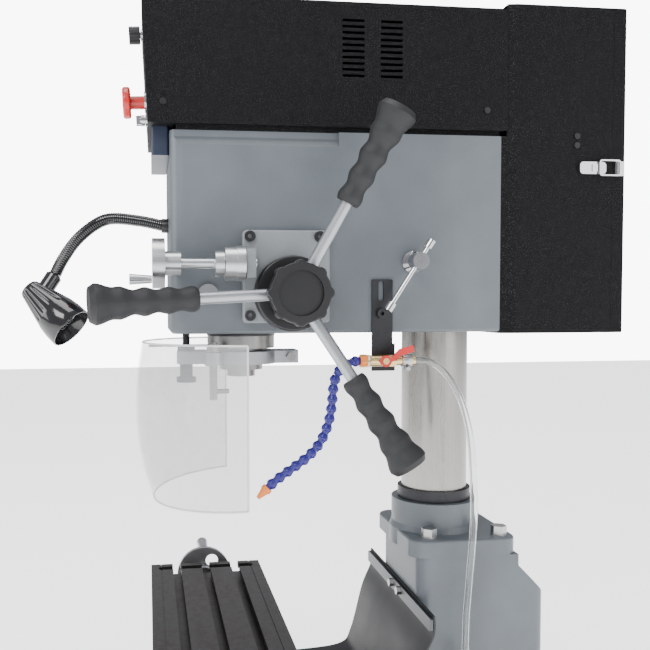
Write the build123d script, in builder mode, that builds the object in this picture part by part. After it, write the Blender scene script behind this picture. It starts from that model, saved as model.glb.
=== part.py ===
"""Round-column mill drill: base, cross table, swinging and lifting head, quill, feeds, guard and coolant line.

Frame: +Z up, +X to the operator's right, -Y to the operator. Origin: centre of the base's four bolt
holes, on its underside. Millimetres.
"""
import math
import os

from build123d import *

# ---- fits -----------------------------------------------------------------------------------
RUN = 0.05             # radial running clearance of a shaft in its bore
CLEAR = 0.4            # gap between pieces that move past each other
SEAT = 0.3             # gap between a soft or curved piece and what it lies on

# ---- base and riser -------------------------------------------------------------------------
BASE_LENGTH = 650.0
BASE_WIDTH = 400.0
FOOT_THICK = 24.0
BASE_BOLT_X = 330.0
BASE_BOLT_Y = 560.0
BASE_BOLT_R = 7.0
WAY_TOP = 95.0         # height of the cross ways
WAY_HEIGHT = 20.0
WAY_WIDTH = 190.0      # across the base's dovetail at its top
BED_FRONT = -318.0
BED_WIDTH = 250.0
COLUMN_Y = 145.0
RISER_HALF = 108.0
RISER_FRONT = 62.0     # column axis to the riser's front face
RISER_BACK = 163.0     # column axis to the riser's rear face
RISER_TOP_BACK = 113.0
RISER_SLOPE = 71.0     # height of the sloped shoulder at the riser's rear
RISER_TOP = 367.0
RISER_WALL = 14.0

# ---- column ---------------------------------------------------------------------------------
COLUMN_R = 57.5
COLUMN_WALL = 9.0
COLUMN_TOP = 1046.0
FLANGE_THICK = 29.0
FLANGE_X = 220.0
FLANGE_FRONT = 75.0    # column axis to the flange's front edge
FLANGE_BACK = 112.0
COLLAR_TOP = 447.0
COLLAR_R = 75.0
COLUMN_SOCKET = 22.0   # depth of the tube's seat below the flange's top
FLANGE_BOLT_X = 85.0
FLANGE_BOLT_Y = (-38.0, 87.0)
RACK_RING_R = 64.0
RACK_RING_H = 11.0
RACK_FOOT_H = 20.0     # the lower ring is the taller one
RACK_DEPTH = 16.0
RACK_WIDTH = 22.0
RACK_TOOTH = 3.0
RACK_PITCH = 2 * math.pi * 1.5 * 12 / 12

# ---- head -----------------------------------------------------------------------------------
LIFT_UP = 20.0         # head travel above the pose shown
HEAD_BOTTOM = 748.0
HEAD_TOP = 1068.0
HEAD_HALF = 125.0
HEAD_WALL = 12.0
HEAD_FRONT = 474.0     # column axis to the head's front face
HEAD_BACK = 67.0       # column axis to the head's rear face
HEAD_CORNER_R = 22.0
LEDGE_TOP = 1058.0
LEDGE_STEP = 7.0
LEDGE_LENGTH = 270.0
THROAT = 350.0         # column axis to spindle axis
BARREL_R = 58.0        # quill barrel and clamp barrel walls inside the casting
CLAMP_R = 78.0
SLAB = 14.0            # top and bottom plates of the casting

# ---- covers ---------------------------------------------------------------------------------
SHEET = 2.0
COVER_HALF = 130.0
COVER_BOTTOM = 1076.0
COVER_TOP = 1272.0
COVER_FRONT = 507.0    # column axis to the cover's front, at its bottom edge
COVER_LEAN = 9.0       # how far the front leans out at the top
COVER_BACK = 76.0
LIP_INSET = 7.0
BOX_BOTTOM = 745.0
BOX_TOP = 1281.0
BOX_SHOULDER = 25.0    # depth of the bevelled front strip
BOX_BACK = 260.0       # column axis to the door seam
DOOR_DEPTH = 23.0
SLOT_ROWS = 10
SLOT_PITCH = 9.6
SLOT_HEIGHT = 4.4
SLOT_LENGTH = 36.0

# ---- spindle and quill ----------------------------------------------------------------------
QUILL_R = 37.5
QUILL_BOTTOM = 683.0
QUILL_TOP = 985.0
QUILL_STROKE = 120.0
SPINDLE_R = 17.0
SPINDLE_NOSE_R = 24.5
SPINDLE_NOSE_Z = 671.0
SPINDLE_TOP = 1215.0
SPINDLE_BORE_R = 12.0
SPINDLE_BORE_DEPTH = 110.0
DRAWBAR_R = 6.0
SPINDLE_PULLEY_R = 92.0
MOTOR_PULLEY_R = 84.0
PULLEY_Z = 1100.0
BELT_WIDTH = 26.0
BELT_THICK = 4.0
SLEEVE_R = 27.0

# ---- motor ----------------------------------------------------------------------------------
MOTOR_BACK = 172.0     # column axis to motor axis
MOTOR_R = 72.0
MOTOR_LOW = 800.0
MOTOR_PLATE_Z = 1044.0
MOTOR_SHAFT_R = 12.0

# ---- feed -----------------------------------------------------------------------------------
FEED_BACK = 64.0       # spindle axis to pinion axis
FEED_Z = 811.0
FLAT_DEPTH = 2.5       # depth of the quill's rack flat
PINION_SHAFT_R = 12.0
PLATE_FACE = 140.0     # X of the feed plate's outer face
PLATE_LOW = 765.0
PLATE_HIGH = 911.0
PLATE_FRONT = 12.0     # spindle axis to the plate's front edge
PLATE_BACK = 127.0
HUB_R = 59.0
HUB_FACE = 166.0
KNOB_R = 50.0
KNOB_FACE = 231.0
ROD_R = 9.2
ROD_REACH = 312.0
ROD_OFFSET = 24.0      # hub face to the rods' common point
ROD_CONE = 10.0        # degrees the rods lean away from the hub's plane
ROD_ANGLES = (62.0, 183.0, 302.0)
GRIP_START = 154.0
FINE_X = 165.0
FINE_Z = 857.0
FINE_SHAFT_R = 8.0
DIAL_R = 27.5
WHEEL_R = 38.0

# ---- depth stop and guard -------------------------------------------------------------------
STOP_LOW = 693.0
STOP_HIGH = 716.0
STOP_R = 60.0
DEPTH_ROD_FRONT = 95.0     # spindle axis to the depth rod
DEPTH_ROD_R = 6.0
GUARD_POST_X = 60.0
GUARD_POST_FRONT = 53.0
GUARD_POST_R = 6.6
GUARD_R = 181.0
GUARD_WALL = 3.0
GUARD_LOW = 480.0
GUARD_HIGH = 731.0
GUARD_ARM_Z = 725.5

# ---- table ----------------------------------------------------------------------------------
TABLE_HALF = 400.0
TABLE_WIDTH = 240.0
TABLE_TOP = 215.0
TABLE_UNDER = 155.0
TABLE_FRONT_OFFSET = 37.6  # spindle axis to table centre line at rest
SLOT_GAP = 17.5
SLOT_SPACING = 64.0
SLOT_NECK = 11.0
SLOT_WIDE = 29.0
SLOT_DEPTH = 23.0
TROUGH = 20.0
TROUGH_DEPTH = 14.0
DOVE_HEIGHT = 14.0
DOVE_WIDTH = 130.0
LEADSCREW_R = 9.0
LEADSCREW_Z = 177.0
HANDWHEEL_R = 61.0
SADDLE_HALF = 115.0
SADDLE_DEPTH = 214.0
CROSS_Z = 62.0
CROSS_REACH = 92.0     # bed front to the cross wheel, past the saddle at its front stop

# ---- way cover ------------------------------------------------------------------------------
STRIP_HALF = 184.0
STRIP_LOW = 273.0
STRIP_HIGH = 294.0
STRIP_THICK = 5.0
RUBBER = 3.0

# ---- coolant line ---------------------------------------------------------------------------
HOSE_R = 6.0
VALVE_X = 150.0
VALVE_Z = 704.0
VALVE_BACK = -144.5    # column axis to the valve stem
# Route of the clear hose from the valve to the joiner, then from the joiner to the inlet.
HOSE_UPPER = [
    (150, 58, 704), (150, 77, 704), (150, 95, 695.6), (149.5, 110, 682), (149, 124.4, 663), (148.5, 136, 640),
    (148, 146, 611.5), (147.5, 155, 573.5), (147, 159, 524), (146.5, 162, 470), (146, 161, 415),
    (145.5, 157, 362), (145, 153, 310), (144, 150, 262), (144, 150, 215),
]
HOSE_LOWER = [(144, 150, 176), (144, 150, 146), (145, 148.6, 114), (146, 147, 86), (146, 147, 60)]

PINION_R = FEED_BACK - QUILL_R + FLAT_DEPTH - CLEAR
SPINDLE_Y = COLUMN_Y - THROAT
FEED_Y = SPINDLE_Y + FEED_BACK
MOTOR_Y = COLUMN_Y + MOTOR_BACK
HEAD_Y0 = COLUMN_Y - HEAD_FRONT
HEAD_Y1 = COLUMN_Y + HEAD_BACK
BOX_Y1 = COLUMN_Y + BOX_BACK
TABLE_Y = SPINDLE_Y - TABLE_FRONT_OFFSET
RISER_Y0 = COLUMN_Y - RISER_FRONT
FLANGE_TOP = RISER_TOP + FLANGE_THICK
SIDE = Plane.YZ        # its x is Y and its y is Z, and it looks along +X


def save(piece, name):
    """Label a finished part and write its STEP file."""
    piece.part.label = name
    export_step(piece.part, f"parts/{name}.step")


def ring_points(count, radius, start=0.0):
    """Points evenly round a circle."""
    step = 2 * math.pi / count
    return [(radius * math.cos(start + i * step), radius * math.sin(start + i * step)) for i in range(count)]


# ---- base body ------------------------------------------------------------------------------
def base_casting():
    """Foot plate, way bed with its dovetail, and hollow riser in one casting."""
    with BuildPart() as casting:
        with BuildSketch():
            RectangleRounded(BASE_WIDTH, BASE_LENGTH, 34)
        extrude(amount=FOOT_THICK)
        bed_length = RISER_Y0 - BED_FRONT + 20
        bed_mid = BED_FRONT + bed_length / 2
        with BuildSketch(Plane.XY.offset(FOOT_THICK)):
            with Locations((0, bed_mid)):
                RectangleRounded(BED_WIDTH, bed_length, 12)
        extrude(amount=WAY_TOP - WAY_HEIGHT - FOOT_THICK)
        with BuildSketch(Plane.XZ.offset(-BED_FRONT)):
            with BuildLine():
                low, high = WAY_TOP - WAY_HEIGHT, WAY_TOP
                half = WAY_WIDTH / 2
                Polyline((-half + WAY_HEIGHT * 0.5, low), (half - WAY_HEIGHT * 0.5, low),
                         (half, high), (-half, high), close=True)
            make_face()
        extrude(amount=-bed_length)
        riser_mid = COLUMN_Y + (RISER_BACK - RISER_FRONT) / 2
        with BuildSketch():
            with Locations((0, riser_mid)):
                RectangleRounded(2 * RISER_HALF, RISER_BACK + RISER_FRONT, 22)
        extrude(amount=RISER_TOP)
        # Sloped shoulder at the riser's rear.
        with BuildSketch(SIDE):
            with BuildLine():
                back = COLUMN_Y + RISER_BACK
                Polyline((back + 1, RISER_TOP - RISER_SLOPE), (back, RISER_TOP - RISER_SLOPE),
                         (COLUMN_Y + RISER_TOP_BACK, RISER_TOP - 19),
                         (COLUMN_Y + RISER_TOP_BACK, RISER_TOP + 1), (back + 1, RISER_TOP + 1), close=True)
            make_face()
        extrude(amount=RISER_HALF + 1, both=True, mode=Mode.SUBTRACT)
        # Underside pocket, leaving the walls and the top plate.
        with BuildSketch():
            with Locations((0, riser_mid)):
                RectangleRounded(2 * (RISER_HALF - RISER_WALL), RISER_BACK + RISER_FRONT - 2 * RISER_WALL, 12)
        extrude(amount=RISER_TOP - RISER_SLOPE - RISER_WALL, mode=Mode.SUBTRACT)
        with BuildSketch():
            with Locations((0, bed_mid - 16)):
                Rectangle(BED_WIDTH - 4 * RISER_WALL, bed_length - 80)
        extrude(amount=CROSS_Z - LEADSCREW_R - 12, mode=Mode.SUBTRACT)
        # Slot along the bed for the cross screw and the saddle's nut.
        with BuildSketch(Plane.XZ.offset(-BED_FRONT)):
            with Locations((0, (CROSS_Z + WAY_TOP) / 2 - 4)):
                Rectangle(2 * LEADSCREW_R + 22, WAY_TOP - CROSS_Z + 30)
        extrude(amount=-(bed_length - 70), mode=Mode.SUBTRACT)
        with GridLocations(BASE_BOLT_X, BASE_BOLT_Y, 2, 2):
            Hole(BASE_BOLT_R, FOOT_THICK)
    save(casting, "base_casting")


def column_flange():
    """Bolted flange with the collar that holds the column's foot."""
    with BuildPart() as flange:
        with BuildSketch(Plane.XY.offset(RISER_TOP)):
            with Locations((0, COLUMN_Y + (FLANGE_BACK - FLANGE_FRONT) / 2)):
                RectangleRounded(FLANGE_X, FLANGE_FRONT + FLANGE_BACK, 26)
        extrude(amount=FLANGE_THICK)
        fillet(flange.faces().sort_by(Axis.Z)[-1].edges(), 4)
        with BuildSketch(Plane.XZ.offset(-COLUMN_Y)):
            with BuildLine():
                Polyline((0, RISER_TOP), (COLLAR_R + 4, RISER_TOP), (COLLAR_R + 4, FLANGE_TOP),
                         (COLLAR_R, FLANGE_TOP + 10), (COLLAR_R, COLLAR_TOP), (0, COLLAR_TOP), close=True)
            make_face()
        revolve(axis=Axis((0, COLUMN_Y, 0), (0, 0, 1)))
        with Locations((0, COLUMN_Y, COLLAR_TOP)):
            Hole(COLUMN_R + RUN, COLLAR_TOP - FLANGE_TOP + COLUMN_SOCKET)
            Hole(COLUMN_R - COLUMN_WALL - 1)
        with Locations(*[(x, COLUMN_Y + y, FLANGE_TOP) for x in (-FLANGE_BOLT_X, FLANGE_BOLT_X)
                         for y in FLANGE_BOLT_Y]):
            Hole(8.5)
    save(flange, "column_flange")


def column_tube():
    """Ground steel tube that the head slides and swings on."""
    foot = FLANGE_TOP - COLUMN_SOCKET
    with BuildPart() as tube:
        with BuildSketch(Plane.XY.offset(foot)):
            with Locations((0, COLUMN_Y)):
                Circle(COLUMN_R)
                Circle(COLUMN_R - COLUMN_WALL, mode=Mode.SUBTRACT)
        extrude(amount=COLUMN_TOP - foot)
    save(tube, "column_tube")


def hex_bolts():
    """Four flange bolts and the two that hold the way cover's strip."""
    with BuildPart() as bolts:
        flange_spots = [(x, COLUMN_Y + y) for x in (-FLANGE_BOLT_X, FLANGE_BOLT_X) for y in FLANGE_BOLT_Y]
        with BuildSketch(Plane.XY.offset(FLANGE_TOP)):
            with Locations(*flange_spots):
                Circle(14)
        extrude(amount=3)
        with BuildSketch(Plane.XY.offset(FLANGE_TOP + 3)):
            with Locations(*flange_spots):
                RegularPolygon(13.5, 6)
        extrude(amount=13)
        with BuildSketch(Plane.XY.offset(FLANGE_TOP)):
            with Locations(*flange_spots):
                Circle(8.0)
        extrude(amount=-FLANGE_THICK)
        strip_face = RISER_Y0 - RUBBER - 2 * SEAT - STRIP_THICK
        with BuildSketch(Plane.XZ.offset(-strip_face)):
            with Locations((-22, (STRIP_LOW + STRIP_HIGH) / 2), (22, (STRIP_LOW + STRIP_HIGH) / 2)):
                RegularPolygon(7.5, 6)
        extrude(amount=6)
    save(bolts, "hex_bolts")


def way_cover():
    """Rubber apron from the riser to the saddle, and the steel strip that clamps its upper edge."""
    back = RISER_Y0 - SEAT
    low = WAY_TOP + SEAT
    saddle_back = TABLE_Y + SADDLE_DEPTH / 2
    with BuildPart() as sheet:
        with BuildSketch(SIDE):
            with BuildLine():
                inner = FilletPolyline((back, STRIP_HIGH + 4), (back, STRIP_LOW - 10), (26, low + 14),
                                       (saddle_back + 0.6, low), radius=9)
                offset(inner, RUBBER, side=Side.RIGHT)
            make_face()
        extrude(amount=STRIP_HALF, both=True)
    save(sheet, "way_cover_sheet")
    with BuildPart() as strip:
        with BuildSketch(Plane.XZ.offset(-(back - RUBBER - SEAT))):
            with Locations((0, (STRIP_LOW + STRIP_HIGH) / 2)):
                RectangleRounded(2 * STRIP_HALF, STRIP_HIGH - STRIP_LOW, 3)
        extrude(amount=STRIP_THICK)
    save(strip, "way_cover_strip")


# ---- coolant hose ---------------------------------------------------------------------------
def route_radii(points):
    """Arc radius for each corner of a route: 0.45 of the shorter run over the half turn's tangent."""
    radii = []
    for before, corner, after in zip(points, points[1:], points[2:]):
        run_in = Vector(*corner) - Vector(*before)
        run_out = Vector(*after) - Vector(*corner)
        turn = math.radians(run_in.get_angle(run_out))
        radii.append(0.45 * min(run_in.length, run_out.length) / math.tan(turn / 2))
    return radii


def hose(points, name):
    """Clear hose: straight runs joined by tangent arcs."""
    radii = route_radii(points)
    print(name, "radii", [round(radius) for radius in radii])
    with BuildPart() as tube:
        with BuildLine() as path:
            FilletPolyline(*points, radius=radii)
        with BuildSketch(Plane(path.wire() @ 0, z_dir=path.wire() % 0)):
            Circle(HOSE_R)
        sweep(path=path.wire())
    section = math.pi * HOSE_R ** 2
    length = path.wire().length
    print(name, "length", round(length, 1), "volume ratio", round(tube.part.volume / (section * length), 4))
    save(tube, name)


def hose_fittings():
    """Brass joiner between the two hoses, and the inlet fitting on the base's foot."""
    x, y, low = HOSE_LOWER[0]
    high = HOSE_UPPER[-1][2]
    with BuildPart() as joiner:
        with BuildSketch(Plane.XY.offset(low)):
            with Locations((x, y)):
                Circle(HOSE_R + 2.5)
        extrude(amount=high - low)
        with BuildSketch(Plane.XY.offset((low + high) / 2 - 6)):
            with Locations((x, y)):
                RegularPolygon(12, 6)
        extrude(amount=12)
    save(joiner, "hose_joiner")
    x, y, top = HOSE_LOWER[-1]
    with BuildPart() as inlet:
        with BuildSketch(Plane.XY.offset(FOOT_THICK)):
            with Locations((x, y)):
                RegularPolygon(14, 6)
        extrude(amount=14)
        with BuildSketch(Plane.XY.offset(FOOT_THICK + 14)):
            with Locations((x, y)):
                Circle(HOSE_R + 2.5)
        extrude(amount=top - FOOT_THICK - 14)
    save(inlet, "hose_inlet")


# ---- saddle and table -----------------------------------------------------------------------
def dovetail(width, height, low, centre=0.0):
    """Corners of a trapezium wider at its top, for a dovetail."""
    half, lean = width / 2, height * 0.5
    return [(centre - half + lean, low), (centre + half - lean, low),
            (centre + half, low + height), (centre - half, low + height)]


def saddle():
    """Cross slide that rides the base's ways and carries the table."""
    front = TABLE_Y - SADDLE_DEPTH / 2
    low = WAY_TOP - WAY_HEIGHT
    with BuildPart() as block:
        with BuildSketch(Plane.XY.offset(low + 0.5)):
            with Locations((0, TABLE_Y)):
                RectangleRounded(2 * SADDLE_HALF, SADDLE_DEPTH, 8)
        extrude(amount=TABLE_UNDER - low - 0.5)
        with BuildSketch(Plane.YZ.offset(-SADDLE_HALF)):
            with BuildLine():
                Polyline(*dovetail(DOVE_WIDTH, DOVE_HEIGHT, TABLE_UNDER - 0.1, TABLE_Y), close=True)
            make_face()
        extrude(amount=2 * SADDLE_HALF)
        # Female dovetail over the ways, with running clearance.
        with BuildSketch(Plane.XZ.offset(-front)):
            with BuildLine():
                Polyline(*dovetail(WAY_WIDTH + 2 * RUN, WAY_HEIGHT + RUN, low), close=True)
            make_face()
        extrude(amount=-SADDLE_DEPTH, mode=Mode.SUBTRACT)
        # Groove for the table's screw.
        with BuildSketch(Plane.YZ.offset(-SADDLE_HALF)):
            with Locations((TABLE_Y, LEADSCREW_Z)):
                Rectangle(2 * LEADSCREW_R + 6, 2 * LEADSCREW_R + 4)
        extrude(amount=2 * SADDLE_HALF, mode=Mode.SUBTRACT)
        # Nut for the cross screw, hanging into the bed's slot.
        with BuildSketch(Plane.XZ.offset(-(TABLE_Y - 25))):
            with Locations((0, (CROSS_Z + WAY_TOP) / 2)):
                Rectangle(2 * LEADSCREW_R + 14, WAY_TOP - CROSS_Z + 20)
            with Locations((0, CROSS_Z)):
                Circle(LEADSCREW_R + RUN, mode=Mode.SUBTRACT)
        extrude(amount=-50)
    save(block, "saddle")


def handwheel(wheel_plane, radius):
    """Dished wheel with a hub, a rim and a handle, opening along the plane's normal."""
    with BuildPart() as wheel:
        with BuildSketch(wheel_plane):
            Circle(radius)
            Circle(radius - 9, mode=Mode.SUBTRACT)
        extrude(amount=13)
        with BuildSketch(wheel_plane.offset(2)):
            Circle(radius - 8)
            with PolarLocations((radius + 10) / 2, 3):
                Circle((radius - 9 - 18) / 2.4, mode=Mode.SUBTRACT)
        extrude(amount=6)
        with BuildSketch(wheel_plane.offset(-8)):
            Circle(17)
        extrude(amount=22)
        with BuildSketch(wheel_plane):
            with Locations((0, radius - 10)):
                Circle(5)
        extrude(amount=18)
        with BuildSketch(wheel_plane.offset(17)):
            with Locations((0, radius - 10)):
                Circle(10)
        extrude(amount=58, taper=-3)
    return wheel.part


def cross_feed():
    """Cross screw with its handwheel in front of the base."""
    wheel = handwheel(Plane((0, BED_FRONT - CROSS_REACH, CROSS_Z), x_dir=(1, 0, 0), z_dir=(0, -1, 0)), HANDWHEEL_R - 12)
    with BuildPart() as feed:
        with BuildSketch(Plane.XZ.offset(-(BED_FRONT - CROSS_REACH))):
            with Locations((0, CROSS_Z)):
                Circle(LEADSCREW_R)
        extrude(amount=-(RISER_Y0 - BED_FRONT + CROSS_REACH - 66))
        with BuildSketch(Plane.XZ.offset(-(BED_FRONT - SEAT))):
            with Locations((0, CROSS_Z)):
                Circle(24)
        extrude(amount=26)
        add(wheel)
    save(feed, "cross_feed_screw")


def table():
    """T-slotted table with end troughs and edge grooves."""
    with BuildPart() as top:
        with BuildSketch(Plane.XY.offset(TABLE_UNDER + CLEAR)):
            with Locations((0, TABLE_Y)):
                Rectangle(2 * TABLE_HALF, TABLE_WIDTH)
        extrude(amount=TABLE_TOP - TABLE_UNDER - CLEAR)
        end_plane = Plane.YZ.offset(-TABLE_HALF)
        for offset_y in (-SLOT_SPACING, 0, SLOT_SPACING):
            with BuildSketch(end_plane):
                with Locations((TABLE_Y + offset_y, TABLE_TOP - SLOT_DEPTH / 2)):
                    Rectangle(SLOT_GAP, SLOT_DEPTH)
                with Locations((TABLE_Y + offset_y, TABLE_TOP - (SLOT_NECK + SLOT_DEPTH) / 2)):
                    Rectangle(SLOT_WIDE, SLOT_DEPTH - SLOT_NECK)
            extrude(amount=2 * TABLE_HALF, mode=Mode.SUBTRACT)
        # Lower sides are set in, so the top overhangs them like a rail.
        for side in (-1, 1):
            with BuildSketch(end_plane):
                with Locations((TABLE_Y + side * TABLE_WIDTH / 2, TABLE_UNDER)):
                    Rectangle(28, 44)
            extrude(amount=2 * TABLE_HALF, mode=Mode.SUBTRACT)
            with BuildSketch(end_plane):
                with Locations((TABLE_Y + side * (TABLE_WIDTH / 2 - 22), TABLE_TOP)):
                    Rectangle(3, 3)
            extrude(amount=2 * TABLE_HALF, mode=Mode.SUBTRACT)
        with BuildSketch(Plane.XY.offset(TABLE_TOP)):
            with Locations((-TABLE_HALF + 18 + TROUGH / 2, TABLE_Y), (TABLE_HALF - 18 - TROUGH / 2, TABLE_Y)):
                RectangleRounded(TROUGH, TABLE_WIDTH - 32, 9)
        extrude(amount=-TROUGH_DEPTH, mode=Mode.SUBTRACT)
        # Female dovetail and the screw's tunnel.
        with BuildSketch(end_plane):
            with BuildLine():
                Polyline(*dovetail(DOVE_WIDTH + 2 * RUN, DOVE_HEIGHT + RUN, TABLE_UNDER - 0.1, TABLE_Y),
                         close=True)
            make_face()
            with Locations((TABLE_Y, LEADSCREW_Z - 6)):
                Rectangle(2 * LEADSCREW_R + 5, 2 * LEADSCREW_R + 12)
        extrude(amount=2 * TABLE_HALF, mode=Mode.SUBTRACT)
        # Bearing brackets of the feed screw at both ends.
        for side in (-1, 1):
            face = Plane((side * (TABLE_HALF + 0.1), TABLE_Y, LEADSCREW_Z), x_dir=(0, 1, 0), z_dir=(side, 0, 0))
            with BuildSketch(face):
                RectangleRounded(120, 2 * (TABLE_TOP - SLOT_DEPTH - 2 - LEADSCREW_Z), 10)
                Circle(LEADSCREW_R + RUN, mode=Mode.SUBTRACT)
            extrude(amount=12)
    save(top, "table")
    faces = [Plane((side * (TABLE_HALF + 12 + SEAT), TABLE_Y, LEADSCREW_Z), x_dir=(0, side, 0),
                   z_dir=(side, 0, 0)) for side in (-1, 1)]
    wheels = [handwheel(face.offset(21), HANDWHEEL_R) for face in faces]
    with BuildPart() as feed:
        reach = TABLE_HALF + 20
        with BuildSketch(Plane.YZ.offset(-reach)):
            with Locations((TABLE_Y, LEADSCREW_Z)):
                Circle(LEADSCREW_R)
        extrude(amount=2 * reach)
        for face, wheel in zip(faces, wheels):
            with BuildSketch(face):
                Circle(22)
            extrude(amount=14)
            add(wheel)
    save(feed, "table_feed_screw")


# ---- rack body ------------------------------------------------------------------------------
def lift_rack():
    """Toothed rack on the column's left side, held between two rings."""
    low = COLLAR_TOP + SEAT + RACK_FOOT_H
    high = COLUMN_TOP - RACK_RING_H - 2
    inner = -COLUMN_R - SEAT
    outer = inner - RACK_DEPTH
    teeth = int((high - low - 20) / RACK_PITCH)
    with BuildPart() as rack:
        for bottom, tall in ((low - RACK_FOOT_H, RACK_FOOT_H), (high, RACK_RING_H)):
            with BuildSketch(Plane.XY.offset(bottom)):
                with Locations((0, COLUMN_Y)):
                    Circle(RACK_RING_R)
                    Circle(COLUMN_R + RUN, mode=Mode.SUBTRACT)
            extrude(amount=tall)
        with BuildSketch(Plane.XZ.offset(-COLUMN_Y)):
            with BuildLine():
                edge = [(inner, low), (inner, high), (outer + RACK_TOOTH, high)]
                for i in range(teeth):
                    top = high - 8 - i * RACK_PITCH
                    edge += [(outer + RACK_TOOTH, top), (outer, top - RACK_PITCH * 0.3),
                             (outer, top - RACK_PITCH * 0.55), (outer + RACK_TOOTH, top - RACK_PITCH * 0.85)]
                edge += [(outer + RACK_TOOTH, low)]
                Polyline(*edge, close=True)
            make_face()
        extrude(amount=RACK_WIDTH / 2, both=True)
    save(rack, "lift_rack")


# ---- head body ------------------------------------------------------------------------------
GEAR_X = -COLUMN_R - SEAT - RACK_DEPTH - 15.0
GEAR_Z = 900.0
GEAR_PINION_R = 14.6
WORM_WHEEL_R = 20.0
WORM_R = 9.0
CRANK_Y = COLUMN_Y + 25.0
CRANK_Z = GEAR_Z + WORM_WHEEL_R + WORM_R + CLEAR
BULGE_X = -148.0
LOCK_Y = COLUMN_Y - 83.0
LOCK_Z = 862.0
LOCK_R = 8.0


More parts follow.
